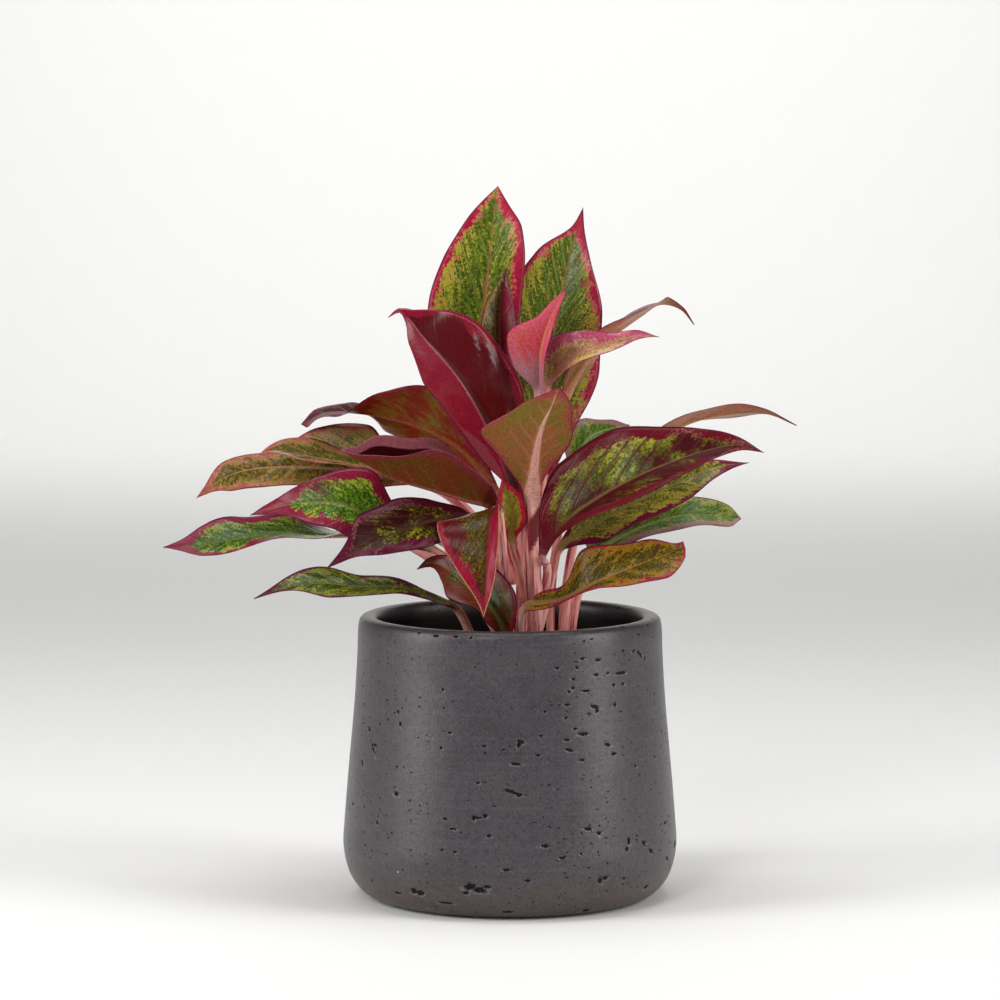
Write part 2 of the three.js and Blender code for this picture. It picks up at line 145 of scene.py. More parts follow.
def add_node(
    tree: bpy.types.NodeTree,
    kind: str,
    inputs: Sequence[Any] | dict[int | str, Any],
    out: int | str = 0,
    **settings: Any,
) -> Socket:
    """Adds a shader node with its settings, its fixed inputs and its links.

    Args:
        tree: the node tree to add to.
        kind: the node's type, without its prefix.
        inputs: a socket to link or a value to set for each input, in order or by name.
        out: which output to hand back.
        settings: values for the node's own properties.

    Returns:
        One output of the new node.
    """
    node = tree.nodes.new(f"ShaderNode{kind}")
    for name, value in settings.items():
        setattr(node, name, value)
    for key, value in inputs.items() if isinstance(inputs, dict) else enumerate(inputs):
        if isinstance(value, Socket):
            tree.links.new(value, node.inputs[key])
        else:
            node.inputs[key].default_value = value
    return node.outputs[out]


def lay_colours(add: Adder, ground: Socket | str, *coats: Coat) -> Socket:
    """Lays coats of colour over a ground.

    Args:
        add: adds a node to the material's tree.
        ground: the first colour, as a socket or as "#rrggbb".
        coats: for each, lowest first, a pattern, the ramp that turns it into a mask, and a
            colour. The ramp says where the mask starts and where it is full, and may add its
            values there, which are 0 and 1 otherwise. With no ramp the pattern is the mask.

    Returns:
        The finished colour.
    """
    colour = linear(ground) if isinstance(ground, str) else ground
    for pattern, ramp, coat in coats:
        mask = add("MapRange", [pattern, *ramp], **SOFT) if ramp else pattern
        coat = linear(coat) if isinstance(coat, str) else coat
        mixing = {"Factor": mask, MIX_BELOW: colour, MIX_ABOVE: coat}
        colour = add("Mix", mixing, MIXED, data_type="RGBA")
    return colour


def new_material(name: str, shader: dict[str, Any]) -> tuple[bpy.types.Material, Adder]:
    """Starts a material with its surface shader.

    Args:
        name: the material's name.
        shader: values that are the same all over the surface.

    Returns:
        The material, and what adds a node to it.
    """
    material = bpy.data.materials.new(name)
    material.use_nodes = True
    surface = material.node_tree.nodes["Principled BSDF"]
    for key, value in shader.items():
        surface.inputs[key].default_value = value
    return material, partial(add_node, material.node_tree)


def dress(
    material: bpy.types.Material,
    bump: Socket,
    colour: Socket,
    roughness: Socket | None = None,
) -> bpy.types.Material:
    """Links finished patterns to a material's surface shader.

    Args:
        material: the material.
        bump: the normal with the fine relief.
        colour: the colour.
        roughness: the roughness, where it isn't the same all over.

    Returns:
        The same material.
    """
    tree = material.node_tree
    surface = tree.nodes["Principled BSDF"]
    for name, pattern in (("Base Color", colour), ("Roughness", roughness), ("Normal", bump)):
        if pattern is not None:
            tree.links.new(pattern, surface.inputs[name])
    return material


class StemCurve:
    """A smooth centripetal curve through places, read by length."""

    STEPS_PER_SPAN = 60

    def __init__(self, places: Sequence[Sequence[float]]) -> None:
        """Samples the curve.

        Args:
            places: the places that it goes through.
        """
        points = [Vector(place) for place in places]
        first = points[0] * 2 - points[1]
        last = points[-1] * 2 - points[-2]
        run = [first, *points, last]
        self.samples: list[Vector] = []
        for i in range(len(points) - 1):
            for step in range(self.STEPS_PER_SPAN):
                self.samples.append(self._between(run[i : i + 4], step / self.STEPS_PER_SPAN))
        self.samples.append(points[-1])
        self.lengths = [0.0]
        for a, b in zip(self.samples, self.samples[1:]):
            self.lengths.append(self.lengths[-1] + (b - a).length)

    @staticmethod
    def _between(run: Sequence[Vector], share: float) -> Vector:
        """Finds a place between the middle two of four points.

        Args:
            run: four points in order.
            share: how far it is from the second to the third.

        Returns:
            The place.
        """
        a, b, c, d = run
        gap_ab, gap_bc, gap_cd = (math.sqrt((q - p).length) for p, q in ((a, b), (b, c), (c, d)))
        leave = ((b - a) / gap_ab - (c - a) / (gap_ab + gap_bc) + (c - b) / gap_bc) * gap_bc
        arrive = ((c - b) / gap_bc - (d - b) / (gap_bc + gap_cd) + (d - c) / gap_cd) * gap_bc
        squared = share * share
        cubed = squared * share
        return (
            b
            + leave * share
            + (c * 3 - b * 3 - leave * 2 - arrive) * squared
            + (b * 2 - c * 2 + leave + arrive) * cubed
        )

    @property
    def length(self) -> float:
        """The curve's whole length."""
        return self.lengths[-1]

    def span_start(self, span: int) -> float:
        """The length at which a span starts."""
        return self.lengths[span * self.STEPS_PER_SPAN]

    def place(self, length: float) -> Vector:
        """Finds the place at a length.

        Args:
            length: how far along it lies.

        Returns:
            The place.
        """
        length = min(max(length, 0.0), self.length)
        i = min(bisect_right(self.lengths, length) - 1, len(self.samples) - 2)
        step = self.lengths[i + 1] - self.lengths[i]
        return self.samples[i].lerp(self.samples[i + 1], (length - self.lengths[i]) / step)

    def direction(self, length: float) -> Vector:
        """The way that the curve runs at a length."""
        reach = self.length * 0.004
        return (self.place(length + reach) - self.place(length - reach)).normalized()


def mixed(stations: Sequence[Sequence[float]], share: float) -> list[float]:
    """Reads evenly spaced stations, eased between them.

    Args:
        stations: lists of numbers from start to end.
        share: how far along the list is read.

    Returns:
        The numbers there.
    """
    at = min(max(share, 0.0), 1.0) * (len(stations) - 1)
    first = min(int(at), max(len(stations) - 2, 0))
    after = min(first + 1, len(stations) - 1)
    eased = smoothstep(at - first, 0.0, 1.0)
    return [a + (b - a) * eased for a, b in zip(stations[first], stations[after])]


def half_width(widths: Widths, share: float) -> float:
    """Reads a blade's half width, a smooth curve through the given ones.

    Args:
        widths: the half widths between the base and the tip.
        share: how far along the blade it is read.

    Returns:
        The half width in millimetres.
    """
    if share <= 0 or share >= 1:
        return 0.0
    at = OUTLINE_AT
    value = (0.0, *widths, 0.0)
    last = len(at) - 1

    def slope(j: int) -> float:
        """The outline's slope at a station."""
        if j == 0:
            return 1.5 * value[1] / at[1]
        if j == last:
            return -value[last - 1] / (1 - at[last - 1])
        before = (value[j] - value[j - 1]) / (at[j] - at[j - 1])
        beyond = (value[j + 1] - value[j]) / (at[j + 1] - at[j])
        return 0.0 if before * beyond <= 0 else 2 * before * beyond / (before + beyond)

    i = bisect_right(at, share) - 1
    step = at[i + 1] - at[i]
    w = (share - at[i]) / step
    rise = (w**3 - 2 * w * w + w) * slope(i) + (w**3 - w * w) * slope(i + 1)
    level = (2 * w**3 - 3 * w * w + 1) * value[i] + (3 * w * w - 2 * w**3) * value[i + 1]
    return max(0.0, level + rise * step)


def place_mesh(
    name: str, work: bmesh.types.BMesh, material: bpy.types.Material
) -> bpy.types.Object:
    """Turns a worked mesh, in millimetres, into an object of the scene.

    Args:
        name: the object's name.
        work: the worked mesh, which is freed.
        material: its finish.

    Returns:
        The object.
    """
    bmesh.ops.scale(work, vec=(MM, MM, MM), verts=work.verts)
    for face in work.faces:
        face.smooth = True
    mesh = bpy.data.meshes.new(name)
    work.to_mesh(mesh)
    work.free()
    mesh.materials.append(material)
    placed = bpy.data.objects.new(name, mesh)
    bpy.context.scene.collection.objects.link(placed)
    return placed


def finish_piece(
    name: str,
    work: bmesh.types.BMesh,
    material: bpy.types.Material,
    node: str,
) -> bpy.types.Object:
    """Turns a worked mesh, in millimetres, into a piece of the object.

    Args:
        name: the piece's name.
        work: the worked mesh, which is freed.
        material: its finish.
        node: the CAD node that it stands for.

    Returns:
        The piece.
    """
    piece = place_mesh(name, work, material)
    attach(piece, BODY)
    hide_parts(node)
    LOG.info("%s: %d faces", name, len(piece.data.polygons))
    return piece


def close_ends(work: bmesh.types.BMesh) -> None:
    """Fills the open ends of a mesh and turns its faces outward."""
    rims = [edge for edge in work.edges if edge.is_boundary]
    bmesh.ops.holes_fill(work, edges=rims, sides=0)
    bmesh.ops.recalc_face_normals(work, faces=work.faces)


def turned_shell(section: Sequence[tuple[float, float]], sides: int) -> bmesh.types.BMesh:
    """Turns a half section once round the upright axis.

    Args:
        section: radius and height along it, starting and ending on the axis.
        sides: how many faces lie round it.

    Returns:
        The closed shell.
    """
    work = bmesh.new()
    run = [work.verts.new((radius, 0, height)) for radius, height in section]
    edges = [work.edges.new(pair) for pair in zip(run, run[1:])]
    bmesh.ops.spin(
        work, geom=[*run, *edges], cent=(0, 0, 0), axis=(0, 0, 1), angle=math.tau, steps=sides,
        use_merge=True,
    )
    bmesh.ops.remove_doubles(work, verts=work.verts, dist=1e-3)
    bmesh.ops.recalc_face_normals(work, faces=work.faces)
    return work


def wrapped_tube(
    columns: int,
    rows: int,
    skin: Callable[[int, int], tuple[Vector, dict[str, float]]],
    carried: Sequence[str] = (),
) -> bmesh.types.BMesh:
    """Wraps a grid into a closed tube.

    Args:
        columns: how many faces lie round it.
        rows: how many lie along it.
        skin: gives the place at a row and a column, and the values carried there.
        carried: the names of those values.

    Returns:
        The closed tube.
    """
    work = bmesh.new()
    bmesh.ops.create_grid(work, x_segments=columns, y_segments=rows, size=1.0)
    layers = {key: work.verts.layers.float.new(key) for key in carried}
    seam = []
    for vert in work.verts:
        column = round((vert.co.x + 1) / 2 * columns)
        row = round((vert.co.y + 1) / 2 * rows)
        if column in (0, columns):
            seam.append(vert)
        vert.co, values = skin(row, column % columns)
        for key, value in values.items():
            vert[layers[key]] = value
    bmesh.ops.remove_doubles(work, verts=seam, dist=1e-4)
    close_ends(work)
    return work


@dataclass(frozen=True)
class LeafFinish:
    """Living aglaonema leaf: a waxy skin over mottled green, lime and crimson tissue.

    The wax gives broad soft highlights, the green breaks up into lime flecks that run along the
    side veins, and the crimson margin has a ragged inner border. Widths are in millimetres.
    """

    deep: str = "#33420f"
    green: str = "#59691a"
    lime: str = "#a39a2c"
    gold: str = "#a27f30"
    margin: str = "#a01538"
    blush: str = "#c08a78"
    edge: str = "#5a1038"
    rib: str = "#b0604c"
    vein: str = "#a8a050"
    wine: str = "#5c0f1e"
    under: str = "#7a4f26"
    under_patch: str = "#5d5a1c"
    under_margin: str = "#93303c"
    under_rib: str = "#d79488"
    foot: str = "#7d4a44"
    stalk_patch: str = "#74121e"
    # Painted shade for the grooves between the cells, and a painted glint for their crests
    shadow: str = "#22120a"
    glint: str = "#d0a050"
    margin_left: float = 5.0
    margin_right: float = 5.0
    under_border: float = 3.5
    ragged: float = 7.0  # how far the margin's border strays
    lime_share: float = 0.5
    lime_rim: float = 0.28  # how much more of it lies near the margin
    wine_share: float = 0.0
    wine_right: float = 0.0  # on the right half, where it differs
    blush_share: float = 0.3
    mottle_share: float = 0.0  # blush mottles along the margin's inner border
    vein_share: float = 0.3
    vein_width: float = 0.075  # half width, in vein spacings
    all_veins: float = 0.0  # how much of that the veins outside the chosen patches keep
    band: float = 0.3  # how much the lime keeps between the side veins
    fleck_share: float = 0.35  # crimson flecks inside the green
    foot_reach: float = 0.0  # how far the foot's tint reaches up the blade
    stalk_patch_at: tuple[float, float] = (0.0, 0.0)  # a dark patch on the stalk, below the blade
    roughness: float = 0.25
    gloss: float = 0.2
    relief: float = 0.4  # how strongly the veins and streaks stand out
    # How strong the painted shade and the painted glints of the cell grain are
    grain: float = 0.5

    def material(self, name: str, seed: float) -> bpy.types.Material:
        """Builds the material of one leaf.

        Args:
            name: the material's name.
            seed: where in the patterns this leaf is cut from.

        Returns:
            The material.
        """
        material, add = new_material(name, {"IOR": 1.45, "Specular IOR Level": self.gloss})
        read = self._patterns(add, seed)
        upper = self._upper(add, read)
        lower = self._lower(add, read)
        blade = lay_colours(add, lower, (read["upper"], (0.35, 0.65), upper))
        if self.foot_reach:
            far = add("Math", [read["streak"], self.foot_reach, read["along"]], **BLEND)
            fading = (1.5 * self.foot_reach, 0.9 * self.foot_reach)
            blade = lay_colours(add, blade, (far, fading, self.foot))
        stalk = StalkFinish().colour(add, read, seed)
        if self.stalk_patch_at[0]:
            stalk = lay_colours(add, stalk, (self._stalk_patch_mask(add, read), (), self.stalk_patch))
        on_blade = add("Math", [read["streak"], 14.0, read["along"]], **BLEND)
        on_blade = add("MapRange", [on_blade, 2.0, 12.0], **SOFT)
        colour = lay_colours(add, stalk, (on_blade, (), blade))
        # Cells show as a fine grain: painted shade darkens their grooves and painted glints light
        # their crests
        cell_shade_and_glint = add("Math", [read["fleck"], 0.5, read["pore"]], **BLEND)
        cell_shade = add("MapRange", [cell_shade_and_glint, 0.82, 0.6, 0.0, self.grain], **SOFT)
        cell_shade = add("Math", [cell_shade, on_blade], **TIMES)
        colour = lay_colours(
            add, colour, (cell_shade, (), self.shadow),
            (cell_shade_and_glint, (0.8, 1.0, 0.0, 0.08 * self.grain), self.glint),
        )

        line = add("Math", [read["vein"], 0.5], **FOLDED)
        ridge = add("MapRange", [line, 0.0, 0.1], **SOFT)
        skin = add("Math", [read["pore"], 0.3, ridge], **BLEND)
        skin = add("Math", [read["streak"], 1.0, skin], **BLEND)
        skin = add("Math", [skin, on_blade], **TIMES)
        # The midrib is duller than the blade beside it
        dull = add("MapRange", [read["midrib"], 0.1, 0.6, self.roughness, 0.6], **SOFT)
        bump = add("Bump", {"Strength": self.relief, "Distance": 0.18 * MM, "Height": skin})
        return dress(material, bump, colour, dull)

    def _patterns(self, add: Adder, seed: float) -> dict[str, Any]:
        """Reads the leaf's coordinates and makes the patterns that its colours share.

        Args:
            add: adds a node to the material's tree.
            seed: where in the patterns this leaf is cut from.

        Returns:
            The coordinates and patterns by name.
        """
        read = {key: add("Attribute", [], "Fac", attribute_name=key) for key in LEAF_VALUES}
        read["distance"] = add("Math", [read["rib"]], operation="ABSOLUTE")
        reach = add("Math", [read["distance"], read["edge"]], **PLUS)
        reach = add("Math", [reach, 1.0], **LARGER)
        read["reach"] = add("Math", [read["distance"], reach], operation="DIVIDE")
        # Streaks run along the side veins: 2 mm across them and 5 mm along them
        across_veins = add("Math", [read["vein"], 4.4], **TIMES)
        along_veins = add("Math", [read["rib"], 0.24, seed], **BLEND)
        flow = add("CombineXYZ", {0: across_veins, 1: along_veins, 2: seed * 0.37})
        grain = {"Vector": flow, "Scale": 1.0, "Detail": 5.0, "Roughness": 0.62}
        read["streak"] = add("TexNoise", grain)
        # Flecks are about 1.2 mm, spots 3 mm, clouds 20 mm and pores 0.4 mm across
        flat = add("CombineXYZ", {0: read["rib"], 1: read["along"], 2: seed * 13.0})
        sizes = (
            ("fleck", 0.8, 4.0, 0.7), ("spot", 0.3, 2.5, 0.6), ("cloud", 0.055, 2.0, 0.5),
            ("pore", 2.6, 2.0, 0.6),
        )
        for key, scale, detail, rough in sizes:
            grain = {"Vector": flat, "Scale": scale, "Detail": detail, "Roughness": rough}
            read[key] = add("TexNoise", grain)
        return read

    def _stalk_patch_mask(self, add: Adder, read: dict[str, Any]) -> Socket:
        """Finds the dark patch on the left of the stalk.

        Args:
            add: adds a node to the material's tree.
            read: the leaf's coordinates and patterns.

        Returns:
            Where the patch is.
        """
        low, high = self.stalk_patch_at
        place = add("Math", [read["rib"], 1.6, read["along"]], **BLEND)
        place = add("Math", [read["fleck"], 9.0, place], **BLEND)
        above_low = add("MapRange", [place, low + 3.0, low + 7.0], **SOFT)
        below_high = add("MapRange", [place, high + 6.0, high + 2.0], **SOFT)
        side = add("Math", [read["fleck"], 2.0, read["rib"]], **BLEND)
        on_left = add("MapRange", [side, 3.6, 1.8, 0.0, 0.95], **SOFT)
        in_stalk_patch = add("Math", [above_low, below_high], **TIMES)
        return add("Math", [in_stalk_patch, on_left], **TIMES)

    @staticmethod
    def _border(add: Adder, read: dict[str, Any], straying: float) -> Socket:
        """The distance from the margin, made ragged.

        Args:
            add: adds a node to the material's tree.
            read: the leaf's coordinates and patterns.
            straying: how far the border strays, in millimetres.

        Returns:
            The distance in millimetres.
        """
        border = read["edge"]
        for key, reach in (("streak", straying), ("cloud", 2 * straying), ("fleck", straying)):
            stray = add("Math", [read[key], reach, -0.5 * reach], **BLEND)
            border = add("Math", [border, stray], **PLUS)
        return border

    def _upper(self, add: Adder, read: dict[str, Any]) -> Socket:
        """Colours the upper face.

        Args:
            add: adds a node to the material's tree.
            read: the leaf's coordinates and patterns.

        Returns:
            The colour.
        """
        border = self._border(add, read, self.ragged)
        right = add("MapRange", [read["rib"], -0.5, 0.5], **SOFT)
        spread = self.margin_right - self.margin_left
        width = add("Math", [right, spread, self.margin_left], **BLEND)
        inward = add("Math", [border, width], **MINUS)

        # Lime gathers towards the margin and between the side veins
        line = add("Math", [read["vein"], 0.5], **FOLDED)
        between = add("Math", [line, self.band, 0.5 * self.lime_share], **BLEND)
        outward = add("MapRange", [read["reach"], 0.3, 0.95, 0.0, self.lime_rim], **SOFT)
        outward = add("Math", [outward, between], **PLUS)
        patchy = add("Math", [read["streak"], 1.0, outward], **BLEND)
        flecked = add("Math", [read["fleck"], 1.0, patchy], **BLEND)
        lime_line = 1.33 + 0.25 * self.band
        in_lime = add("MapRange", [flecked, lime_line - 0.08, lime_line + 0.14], **SOFT)
        golden = add("MapRange", [read["cloud"], 0.42, 0.64, 0.0, 0.75], **SOFT)
        in_gold = add("Math", [in_lime, golden], **TIMES)
        deepness = add("Math", [read["streak"], 0.9, read["fleck"]], **BLEND)
        fleck_line = 0.98 - 0.2 * self.fleck_share
        near_margin = add("MapRange", [inward, 9.0, 0.0, 0.0, 0.14], **SOFT)
        reddish = add("Math", [read["fleck"], 0.35, read["spot"]], **BLEND)
        reddish = add("Math", [reddish, near_margin], **PLUS)
        shift = self.wine_right - self.wine_share if self.wine_right else 0.0
        wine = add("Math", [right, shift, self.wine_share - 0.6], **BLEND)
        washed = add("Math", [read["cloud"], 0.8, wine], **BLEND)
        washed = add("Math", [read["streak"], 0.6, washed], **BLEND)
        in_vein = add("MapRange", [line, self.vein_width, 0.0, 0.0, self.vein_share], **SOFT)
        fading = add("MapRange", [read["reach"], 1.0, 0.55], **SOFT)
        chosen = add("MapRange", [read["cloud"], 0.4, 0.56, self.all_veins, 1.0], **SOFT)
        in_vein = add("Math", [in_vein, fading], **TIMES)
        in_vein = add("Math", [in_vein, chosen], **TIMES)
        # The margin pales in patches towards its inner border
        pale = add("Math", [inward, 0.06, read["cloud"]], **BLEND)
        pale = add("Math", [read["fleck"], 0.7, pale], **BLEND)
        blushing = (0.78, 0.98, 0.0, self.blush_share)
        margin = lay_colours(add, self.margin, (pale, blushing, self.blush))
        # and breaks up there into mottles of both colours
        off_border = add("Math", [inward, 0.0], operation="ABSOLUTE")
        at_border = add("MapRange", [off_border, 3.5, 0.5, 0.0, 0.18], **SOFT)
        mottled = add("Math", [read["spot"], at_border], **PLUS)
        return lay_colours(
            add,
            self.green,
            (deepness, (1.0, 0.8), self.deep),
            (in_lime, (), self.lime),
            (in_gold, (), self.gold),
            (reddish, (fleck_line, fleck_line + 0.05), self.margin),
            (washed, (0.3, 0.5), self.wine),
            (in_vein, (), self.vein),
            (inward, (0.6, -0.6), margin),
            (mottled, (0.66, 0.74, 0.0, self.mottle_share), self.blush),
            (read["midrib"], (0.35, 0.8, 0.0, 0.9), self.rib),
            (read["edge"], (0.9, 0.3), self.edge),
        )

    def _lower(self, add: Adder, read: dict[str, Any]) -> Socket:
        """Colours the lower face.

        Args:
            add: adds a node to the material's tree.
            read: the leaf's coordinates and patterns.

        Returns:
            The colour.
        """
        border = self._border(add, read, self.ragged * 0.8)
        inward = add("Math", [border, self.under_border], **MINUS)
        patchy = add("Math", [read["streak"], 0.8, read["cloud"]], **BLEND)
        line = add("Math", [read["vein"], 0.5], **FOLDED)
        in_vein = add("MapRange", [line, 0.2, 0.0, 0.0, 0.16], **SOFT)
        fading = add("MapRange", [read["reach"], 0.75, 0.2], **SOFT)
        in_vein = add("Math", [in_vein, fading], **TIMES)
        return lay_colours(
            add,
            self.under,
            (patchy, (0.82, 1.12, 0.0, 0.85), self.under_patch),
            (read["fleck"], (0.56, 0.72, 0.0, 0.3), self.lime),
            (inward, (2.5, -1.5), self.under_margin),
            (in_vein, (), self.under_rib),
            (read["midrib"], (0.3, 0.75, 0.0, 0.95), self.under_rib),
            (read["edge"], (0.8, 0.3, 0.0, 0.8), self.edge),
        )


@dataclass(frozen=True)
class StalkFinish:
    """Fleshy pink leaf stalk: wet-looking skin with red streaks that run its length."""

    pale: str = "#f4b8ac"
    rose: str = "#dc7678"
    streak: str = "#86202e"
    olive: str = "#8a7440"

    def colour(self, add: Adder, read: dict[str, Any], seed: float) -> Socket:
        """Colours a stalk.

        Args:
            add: adds a node to the material's tree.
            read: the leaf's coordinates and patterns.
            seed: where in the patterns this stalk is cut from.

        Returns:
            The colour.
        """
        # Streaks are about 1 mm wide and 30 mm long
        length = add("Math", [read["along"], 0.035], **TIMES)
        girth = add("Math", [read["rib"], 0.8], **TIMES)
        flow = add("CombineXYZ", {0: girth, 1: length, 2: seed * 7.0})
        fibre = add("TexNoise", {"Vector": flow, "Scale": 1.0, "Detail": 3.0, "Roughness": 0.6})
        return lay_colours(
            add,
            self.pale,
            (fibre, (0.42, 0.62), self.rose),
            (read["cloud"], (0.62, 0.8, 0.0, 0.35), self.olive),
            (fibre, (0.54, 0.68, 0.0, 0.8), self.streak),
        )


@dataclass(frozen=True)
class Leaf:
    """One leaf: a stalk that opens into a thin blade, with its places in millimetres.

    The half widths are seen from above the upper face with the tip away, and the right ones are
    like the left ones where none are given. face is where the upper face looks, and fold is the
    rise of each half in degrees, left and right. Both are spaced evenly from the blade's base to
    its tip.
    """

    name: str
    stalk: Places
    rib: Places
    left: Widths
    face: Places
    fold: tuple[tuple[float, float], ...]
    finish: LeafFinish
    right: Widths = ()
    cup: tuple[tuple[float, float], ...] = ((0.0, 0.0),)
    stalk_radius: float = 2.2
    vein_slant: float = 1.2  # how steeply the side veins leave the midrib
    pleat: tuple[float, float] = (0.4, 0.4)  # swell between the side veins, left and right

    COLUMNS = 56  # round the section, in four equal quarters
    ROW_STEP = 2.2
    STALK_STEP = 4.0
    SHEET = 0.5  # thickness of the blade
    TIP_RADIUS = 0.3
    VEIN_SPACING = 13.0
    WAVE_HEIGHT = 0.8
    WAVES = 2.5  # how often a margin waves from base to tip

    def build(self, seed: float) -> bpy.types.Object:
        """Makes the leaf.

        Args:
            seed: where in the patterns this leaf is cut from.

        Returns:
            The finished piece.
        """
        curve = StemCurve([*self.stalk, *self.rib])
        foot = curve.span_start(len(self.stalk))
        blade = curve.length - foot
        stalk_rows = max(4, math.ceil(foot / self.STALK_STEP))
        blade_rows = max(24, math.ceil(blade / self.ROW_STEP))
        stations = [foot * row / stalk_rows for row in range(stalk_rows)]
        stations += [foot + blade * row / blade_rows for row in range(blade_rows + 1)]
        rows = [self._row(curve, length, foot, blade) for length in stations]
        work = wrapped_tube(
            self.COLUMNS, len(rows) - 1,
            lambda row, column: self._skin_point(rows[row], column, seed), LEAF_VALUES,
        )
        material = self.finish.material(f"leaf_tissue_{self.name}", seed)
        return finish_piece(f"{self.name}_leaf", work, material, f"leaf_{self.name}")

    def _row(self, curve: StemCurve, length: float, foot: float, blade: float) -> dict[str, Any]:
        """Works out what one row round the leaf shares.

        Args:
            curve: the leaf's middle line.
            length: how far along it the row lies.
            foot: the length at which the blade starts.
            blade: the blade's length.

        Returns:
            The row's place, directions and sizes.
        """
        share = min(max((length - foot) / blade, 0.0), 1.0)
        forward = curve.direction(length)
        up = Vector(mixed(self.face, share))
        up = (up - forward * up.dot(forward)).normalized()
        fade = 1.25 * share
        rib_radius = self.stalk_radius + (self.TIP_RADIUS - self.stalk_radius) * min(1.0, fade)
        return {
            "share": share,
            "along": length - foot,
            "centre": curve.place(length),
            "up": up,
            "side": forward.cross(up),
            "halves": [half_width(side, share) for side in (self.left, self.right or self.left)],
            "fold": [math.radians(angle) for angle in mixed(self.fold, share)],
            "cup": mixed(self.cup, share),
            "rib_radius": rib_radius,
            "open": smoothstep(share, 0.0, 0.1),
        }

    def _skin_point(
        self, row: dict[str, Any], column: int, seed: float
    ) -> tuple[Vector, dict[str, float]]:
        """Finds one point of the leaf's skin.

        Args:
            row: what the row shares.
            column: which column round the section, from the middle of the lower face.
            seed: where in the patterns this leaf is cut from.

        Returns:
            The place in millimetres, and the values that the finish reads.
        """
        turn = 4 * column / self.COLUMNS
        quarter = int(turn)
        part = turn - quarter
        straight = part if quarter in (0, 2) else 1 - part
        sign = 1 if turn < 2 else -1
        angle = (turn - 1) * math.pi / 2
        hand = 0 if sign < 0 else 1
        reach = straight**1.35
        half = row["halves"][hand]
        distance = reach * half
        share = row["share"]
        fold = row["fold"][hand]
        thin = row["rib_radius"]

        pleat_place = row["along"] - self.vein_slant * distance - 0.02 * distance**2
        vein = pleat_place / self.VEIN_SPACING
        inner = smoothstep(distance, 0.8, 4.0) * smoothstep(half - distance, 0.0, 5.0)
        patch = noise.noise(Vector((row["along"] / 26, sign * distance / 15, seed + 9)))
        inner *= smoothstep(patch, -0.02, 0.32)
        pleat = self.pleat[hand] * inner * (0.5 - 0.5 * math.cos(2 * math.pi * vein))
        phase = 2 * math.pi * (self.WAVES * share + 0.37 * hand)
        swell = smoothstep(share, 0.03, 0.2) * smoothstep(share, 1.0, 0.75)
        ripple = self.WAVE_HEIGHT * swell * reach**2 * math.sin(phase)
        stray = noise.noise(Vector((row["along"] / 22, sign * reach * 1.3, seed)))
        ripple += 0.9 * stray * reach * swell
        rise = distance * math.sin(fold) + pleat + ripple + row["cup"][hand] * half * reach**2
        near_rib = math.exp(-((distance / max(0.9 * thin, 0.3)) ** 2))
        above = 1 if 1 < turn < 3 else 0 if turn < 1 or turn > 3 else 0.5
        sheet = 0.5 * self.SHEET * (1 - straight**6)
        if above == 1:
            rise += sheet - 0.35 * thin * near_rib
        elif above == 0:
            rise -= sheet + 0.75 * thin * near_rib
        narrow = 1 - 0.85 * smoothstep(share, 0.02, 0.3)
        sideways = math.hypot(distance * math.cos(fold), thin * math.cos(angle) * narrow)
        round_rise = self.stalk_radius * math.sin(angle)
        lift = round_rise + (rise - round_rise) * row["open"]
        point = row["centre"] + row["side"] * (sign * sideways) + row["up"] * lift
        on_blade = smoothstep(share, 0.0, 0.03)
        values = {
            "rib": sign * (distance + (1 - on_blade) * thin * abs(math.cos(angle))),
            "edge": half - distance + (1 - on_blade) * 4.0,
            "along": row["along"],
            "vein": vein,
            "upper": float(above),
            "midrib": near_rib * smoothstep(share, 1.02, 0.85),
        }
        return point, values


@dataclass(frozen=True)
class Pit:
    """A hole that an air bubble or a scrape left in the planter's face.

    Its place is in pixels of the portrait, its size in millimetres, and its lean in degrees,
    positive where its right end is higher.
    """

    across: float
    down: float
    wide: float
    tall: float
    lean: float = 0.0


